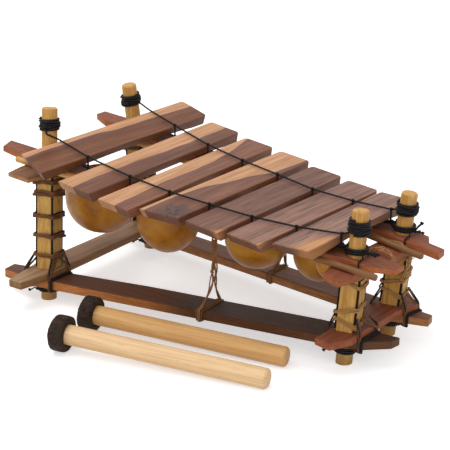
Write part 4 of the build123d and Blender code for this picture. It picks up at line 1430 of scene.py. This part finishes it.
@dataclass
class TwineTies:
    """Knotted brown twine that hangs from each plank and goes round the bottom rail."""

    twine: bpy.types.Material
    strand: float = 0.82

    def drop(self, x: float, top: tuple[float, float], rail_y: tuple[float, float], spread: float,
             seed: int) -> list[Patch]:
        """One tie.

        Six strands leave the plank together and cross each other on the way down as
        sines. Over the last fifth, half of them swing to the rail's front edge and half to
        its back edge, as the sixth power of the way down, and they end under the rail.

        Args:
            x: where it goes round the rail.
            top: x and y of where it leaves the plank.
            rail_y: the rail's front and back edge there.
            spread: half the width of the strands at the rail.
            seed: sets the strands' phases.

        Returns:
            The strands and three knots.
        """
        under = height_at(RAIL_UNDER, x) - 1.3
        over = height_at(RAIL_TOP, x) + 1.3
        plank = height_at(DECK_LEVEL, top[0]) - SEAT - 0.6
        patches = []
        for strand in range(6):
            lane = (strand - 2.5) / 2.5
            front = strand % 2 == 0
            edge = rail_y[0] - 1.3 if front else rail_y[1] + 1.3
            t = np.linspace(0, 1, 90)
            weave = np.sin(2 * math.pi * (2.2 * t + strand / 6) + seed)
            goal = x + spread * (0.45 if front else -0.1) + 0.25 * spread * lane
            line_x = top[0] + (goal - top[0]) * t**6 + 1.9 * weave * (1 - t**4) + 0.9 * lane * (1 - t**6)
            line_y = top[1] + (edge - top[1]) * t**6 + 1.1 * np.cos(2 * math.pi * 2.2 * t + strand) * (1 - t**4)
            line_z = plank + (over - plank) * t
            fall = np.stack([line_x, line_y, line_z], axis=1)
            last = fall[-1]
            wrap = np.array([
                last, (last[0], edge, under), (last[0] + 0.8, (rail_y[0] + rail_y[1]) / 2, under - 0.3),
            ])
            path = np.vstack([fall[:-1], rounded(wrap, 1.2)])
            patches += twisted(even(path, 0.8), self.strand + 0.12 * (strand % 3), 3.2, reference=(1.0, 0.1, 0.0), sides=5)
        for share in (0.04, 0.2, 0.42, 0.62):
            spot = (top[0] + (x - top[0]) * share, top[1], plank + (over - plank) * share)
            patches.append(knot(spot, 1.9, 0.7, 5 * share))
        return patches

    def lap(self, x: float, rail_y: tuple[float, float], wide: float) -> list[Patch]:
        """Turns of twine round the rail, each a slightly leaning loop close to it."""
        under = height_at(RAIL_UNDER, x) - 0.9
        over = height_at(RAIL_TOP, x) + 0.9
        patches = []
        for turn in range(4):
            lane = x + wide * (turn - 1.5) / 1.5
            lean = 0.8 * (1 if turn % 2 else -1)
            near, far = rail_y[0] - 0.9, rail_y[1] + 0.9
            loop = np.array([
                (lane, near, under), (lane + lean, near, over), (lane, far, over), (lane - lean, far, under),
                (lane, near + 2, under), (lane, near, under + 2),
            ])
            patches += twisted(rounded(loop, 1.4), 0.7, 3.2, reference=(1.0, 0.0, 0.0), sides=5)
        return patches

    def make(self) -> None:
        """Builds both ties."""
        front = self.drop(27.0, (32.0, -60.5), (-84.9, -43.9), 6.5, 1) + self.lap(29.5, (-84.9, -43.9), 3.2)
        back = self.drop(30.0, (44.0, 63.0), (53.6, 87.8), 3.5, 4) + self.lap(30.0, (53.6, 87.8), 3.0)
        build("rail_twine_front", front, self.twine, "stand", ("twine_tie_front",))
        build("rail_twine_back", back, self.twine, "stand", ("twine_tie_back",))


@dataclass
class Raffia:
    """Loose raffia tied between the right planks and cross rails."""

    raffia: bpy.types.Material

    def bundle(self, route: tuple, strands: int, spread: float, seed: int, radius: float = 0.6) -> list[Patch]:
        """Strands that follow one route, each pushed aside by its own slow ripple."""
        path = rounded(np.array(route, float), 3.0, 1.2)
        _, normal, binormal = frames(path, (0.2, 0.1, 1.0))
        t = np.linspace(0, 7, len(path))
        patches = []
        for strand in range(strands):
            aside = spread * (0.6 * ripple(t, seed + strand) + (strand - (strands - 1) / 2) / max(1, strands - 1))
            lifted = 0.45 * spread * ripple(t, seed + 40 + strand)
            patches.append(tube(path + aside[:, None] * binormal + lifted[:, None] * normal, radius, UP, 6))
        return patches

    def make(self) -> None:
        """Builds the bundle over the front-right cross rail and the strand down the back leg."""
        front = POSTS["front_right"]
        back = POSTS["back_right"]
        deck = height_at(DECK_LEVEL, 205.0)
        patches = self.bundle(
            ((front.at(115)[0] - 8, -12.0, deck + 2.6), (196.0, -5.0, deck + 4.0), (204.0, -2.0, deck + 6.5),
             (214.0, -5.5, deck + 6.5), (222.5, -7.5, deck + 1.0), (222.0, -9.0, deck - 6.0)), 8, 4.0, 3, 0.5)
        patches += self.bundle(
            ((184.0, 31.5, deck + 2.8), (198.0, 30.5, deck + 3.4), (211.0, 28.5, deck + 4.4), (224.0, 24.0, deck + 3.0),
             (227.0, 27.0, deck - 6.0), (219.0, 37.0, deck - 18.0), (back.at(72)[0] + 14, 33.0, 72.0)), 6, 3.2, 9, 0.5)
        build("raffia_tufts", patches, self.raffia, "stand")


@dataclass
class Mallets:
    """Two mallets: peeled sticks with thick heads of old rubber."""

    rubber: bpy.types.Material
    head_radius: float = 20.0
    head_width: float = 17.0
    head_round: float = 4.5
    handle_radius: float = 11.0

    pairs = {
        "front": ((-65.3, -203.4), (163.5, -148.0)),
        "back": ((-74.5, -145.0), (150.7, -93.0)),
    }

    def line(self, ends: tuple) -> tuple[Array, Array]:
        """The head's centre and the handle's end."""
        run = math.dist(*ends)
        lean = math.asin((self.head_radius - self.handle_radius) / run)
        corner = self.head_radius - self.head_round
        base = corner * math.cos(lean) + (self.head_width / 2 - self.head_round) * math.sin(lean) + self.head_round
        start = np.array([*ends[0], base])
        return start, np.array([*ends[1], self.handle_radius / math.cos(lean) + 0.05])

    def head(self, ends: tuple, seed: int) -> Patch:
        """A lumpy rubber disc with a bore.

        The section is a rounded rectangle between the bore and the outer radius, walked
        once round. Round the handle its outer part shrinks by a ripple in the angle and
        across, and its faces wander a little, more towards the outside.
        """
        start, end = self.line(ends)
        along = unit(end - start)
        side = unit(np.cross(along, UP))
        above = np.cross(side, along)
        t = np.linspace(0, 2 * math.pi, 44, endpoint=False)
        power = 0.42
        inner = self.handle_radius + 0.3
        deep = (self.head_radius - inner) / 2
        outward = inner + deep + deep * np.sign(np.sin(t)) * np.abs(np.sin(t)) ** power
        across = self.head_width / 2 * np.sign(np.cos(t)) * np.abs(np.cos(t)) ** power
        turn = np.linspace(0, 2 * math.pi, 120, endpoint=False)
        share = ((outward - inner) / (2 * deep))[None, :]
        rng = np.random.default_rng(seed)
        phases = rng.uniform(0, 2 * math.pi, 6)
        lumps = sum(
            np.sin(k * turn[:, None] + phases[i] + (0.4 + 0.2 * i) * np.cos(t)[None, :] * 2) / (i + 1.6)
            for i, k in enumerate((3, 5, 8, 13, 19, 27))
        )
        low = 0.5 - 0.5 * np.tanh(6 * (-np.sin(turn) - 0.8))
        shrink = 1 - 0.028 * share * (1.3 - lumps) * low[:, None]
        reach = inner + (outward[None, :] - inner) * shrink
        aside = across[None, :] * (1 - 0.05 * share * (1 + np.roll(lumps, 17, axis=0)))
        points = (
            start + reach[..., None] * (np.cos(turn)[:, None, None] * side + np.sin(turn)[:, None, None] * above)
            + aside[..., None] * along
        )
        return grid(points, 20 * turn, closed_along=True)

    def make(self) -> None:
        """Builds the heads and dresses the sticks."""
        tones = {
            "front": (paint(240, 206, 162), paint(222, 180, 128)),
            "back": (paint(232, 186, 126), paint(208, 156, 92)),
        }
        for side, ends in self.pairs.items():
            start, end = self.line(ends)
            along = Vector(unit(end - start))
            turn = along.to_track_quat("Z", "Y").to_euler()
            finish = StickFinish(f"stick_{side}", tuple(placed(start)), tuple(turn), *tones[side])
            dress(f"mallet_handle_{side}", finish.make())
            build(f"rubber_head_{side}", [self.head(ends, 3 if side == "front" else 8)], self.rubber,
                  f"mallet_{side}", (f"mallet_head_{side}",))


# ---------------------------------------------------------------- floor, light, camera


@dataclass
class Studio:
    """Plain pale floor, soft lamps and the camera at the photograph's angle."""

    azimuth: float = math.radians(35.0)
    elevation: float = math.radians(19.83)
    roll: float = math.radians(0.78)
    distance: float = 1.628
    target: tuple[float, float, float] = (-0.01929, 0.06771, 0.08636)
    lens: float = 112.0
    world_light: float = 0.62
    floor_white: float = 0.82
    floor_glow: float = 0.52

    def add_camera(self) -> None:
        """The camera looks at the target from the azimuth and elevation, rolled a little."""
        to_eye = np.array([
            math.sin(self.azimuth) * math.cos(self.elevation), -math.cos(self.azimuth) * math.cos(self.elevation),
            math.sin(self.elevation),
        ])
        right = np.array([math.cos(self.azimuth), math.sin(self.azimuth), 0.0])
        up = np.cross(right, -to_eye)
        cos, sin = math.cos(self.roll), math.sin(self.roll)
        right, up = right * cos + up * sin, up * cos - right * sin
        eye = np.array(self.target) + self.distance * to_eye
        data = bpy.data.cameras.new("camera")
        data.lens, data.sensor_width, data.clip_end = self.lens, 36.0, 20.0
        camera = bpy.data.objects.new("camera", data)
        camera.matrix_world = Matrix((
            (*(float(v[0]) for v in (right, up, to_eye)), float(eye[0])),
            (*(float(v[1]) for v in (right, up, to_eye)), float(eye[1])),
            (*(float(v[2]) for v in (right, up, to_eye)), float(eye[2])),
            (0.0, 0.0, 0.0, 1.0),
        ))
        bpy.context.scene.collection.objects.link(camera)
        bpy.context.scene.camera = camera

    def seen(self, shade: Shade) -> Socket:
        """1 for rays from the camera and through gloss or glass, 0 for light."""
        path = shade.node("ShaderNodeLightPath").outputs
        most = shade.sum("MAXIMUM", path["Is Camera Ray"], path["Is Glossy Ray"])
        return shade.sum("MAXIMUM", most, path["Is Transmission Ray"])

    def add_floor(self) -> None:
        """A wide pale floor that keeps the shadow and looks white to the camera."""
        ring = np.array([(-1, -1), (1, -1), (1, 1), (-1, 1)]) * 6.0
        mesh = bpy.data.meshes.new("floor")
        mesh.from_pydata([(*map(float, p), -0.0005) for p in ring], [], [(0, 1, 2, 3)])
        floor = bpy.data.objects.new("floor", mesh)
        shade = Shade("floor_paper")
        white = (self.floor_white,) * 3 + (1.0,)
        matt = shade.node("ShaderNodeBsdfDiffuse", {"Color": white}).outputs[0]
        power = shade.sum("MULTIPLY", self.seen(shade), self.floor_glow)
        glow = shade.node("ShaderNodeEmission", {"Strength": power}).outputs[0]
        both = shade.node("ShaderNodeAddShader", {0: matt, 1: glow}).outputs[0]
        shade.node("ShaderNodeOutputMaterial", {"Surface": both})
        mesh.materials.append(shade.material)
        bpy.context.scene.collection.objects.link(floor)
        floor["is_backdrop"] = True

    def add_world(self) -> None:
        """A white world, brighter to the camera than as light."""
        world = bpy.data.worlds.new("studio")
        bpy.context.scene.world = world
        world.use_nodes = True
        nodes, links = world.node_tree.nodes, world.node_tree.links
        nodes.clear()
        path = nodes.new("ShaderNodeLightPath").outputs
        first, second, scale = (nodes.new("ShaderNodeMath") for _ in range(3))
        first.operation = second.operation = "MAXIMUM"
        links.new(path["Is Camera Ray"], first.inputs[0])
        links.new(path["Is Glossy Ray"], first.inputs[1])
        links.new(first.outputs[0], second.inputs[0])
        links.new(path["Is Transmission Ray"], second.inputs[1])
        scale.operation = "MULTIPLY_ADD"
        links.new(second.outputs[0], scale.inputs[0])
        scale.inputs[1].default_value = 1.0 - self.world_light
        scale.inputs[2].default_value = self.world_light
        background = nodes.new("ShaderNodeBackground")
        background.inputs["Color"].default_value = (1.0, 1.0, 1.0, 1.0)
        links.new(scale.outputs[0], background.inputs["Strength"])
        output = nodes.new("ShaderNodeOutputWorld")
        links.new(background.outputs[0], output.inputs["Surface"])

    def add_lamp(self, name: str, place: tuple, size: float, power: float) -> None:
        """A soft square lamp that faces the instrument."""
        data = bpy.data.lights.new(name, "AREA")
        data.shape, data.size, data.energy = "SQUARE", size, power
        lamp = bpy.data.objects.new(name, data)
        toward = Vector(self.target) - Vector(place)
        lamp.matrix_world = Matrix.Translation(place) @ toward.to_track_quat("-Z", "Y").to_matrix().to_4x4()
        bpy.context.scene.collection.objects.link(lamp)

    def make(self) -> None:
        """Builds the studio and sets plain colour viewing."""
        bpy.context.scene.view_settings.view_transform = "Standard"
        self.add_camera()
        self.add_floor()
        self.add_world()
        self.add_lamp("lamp_above", (-0.5, -0.3, 1.9), 1.4, 17.0)
        self.add_lamp("lamp_front", (0.9, -1.6, 1.1), 1.2, 9.0)


def corners() -> list[list[float]]:
    """The lowest and highest corner of everything but the stage."""
    return [[float(x) for x in corner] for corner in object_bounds()]


def main() -> None:
    """Builds the sub-assemblies in order."""
    logging.basicConfig(level=logging.INFO, format="%(name)s: %(message)s")
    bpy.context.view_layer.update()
    Studio().make()
    black = CordFinish("waxed_cord", paint(36, 32, 31), paint(9, 8, 8)).make()
    bark = BarkFinish("bark_strip", paint(142, 100, 58), paint(104, 68, 38), paint(64, 40, 24)).make()
    raffia = BarkFinish("raffia_strand", paint(216, 172, 114), paint(178, 130, 76), paint(122, 84, 46)).make()
    twine = BarkFinish("brown_twine", paint(184, 138, 90), paint(146, 100, 60), paint(92, 60, 36)).make()
    Stand().make()
    LegBindings(black, bark, raffia).make()
    Windings(black).make()
    KeyRow().make()
    SuspensionCords(black).make()
    Gourds(GourdFinish().make(), black).make()
    TwineTies(twine).make()
    Raffia(raffia).make()
    Mallets(RubberFinish().make()).make()


if __name__ == "__main__":
    main()
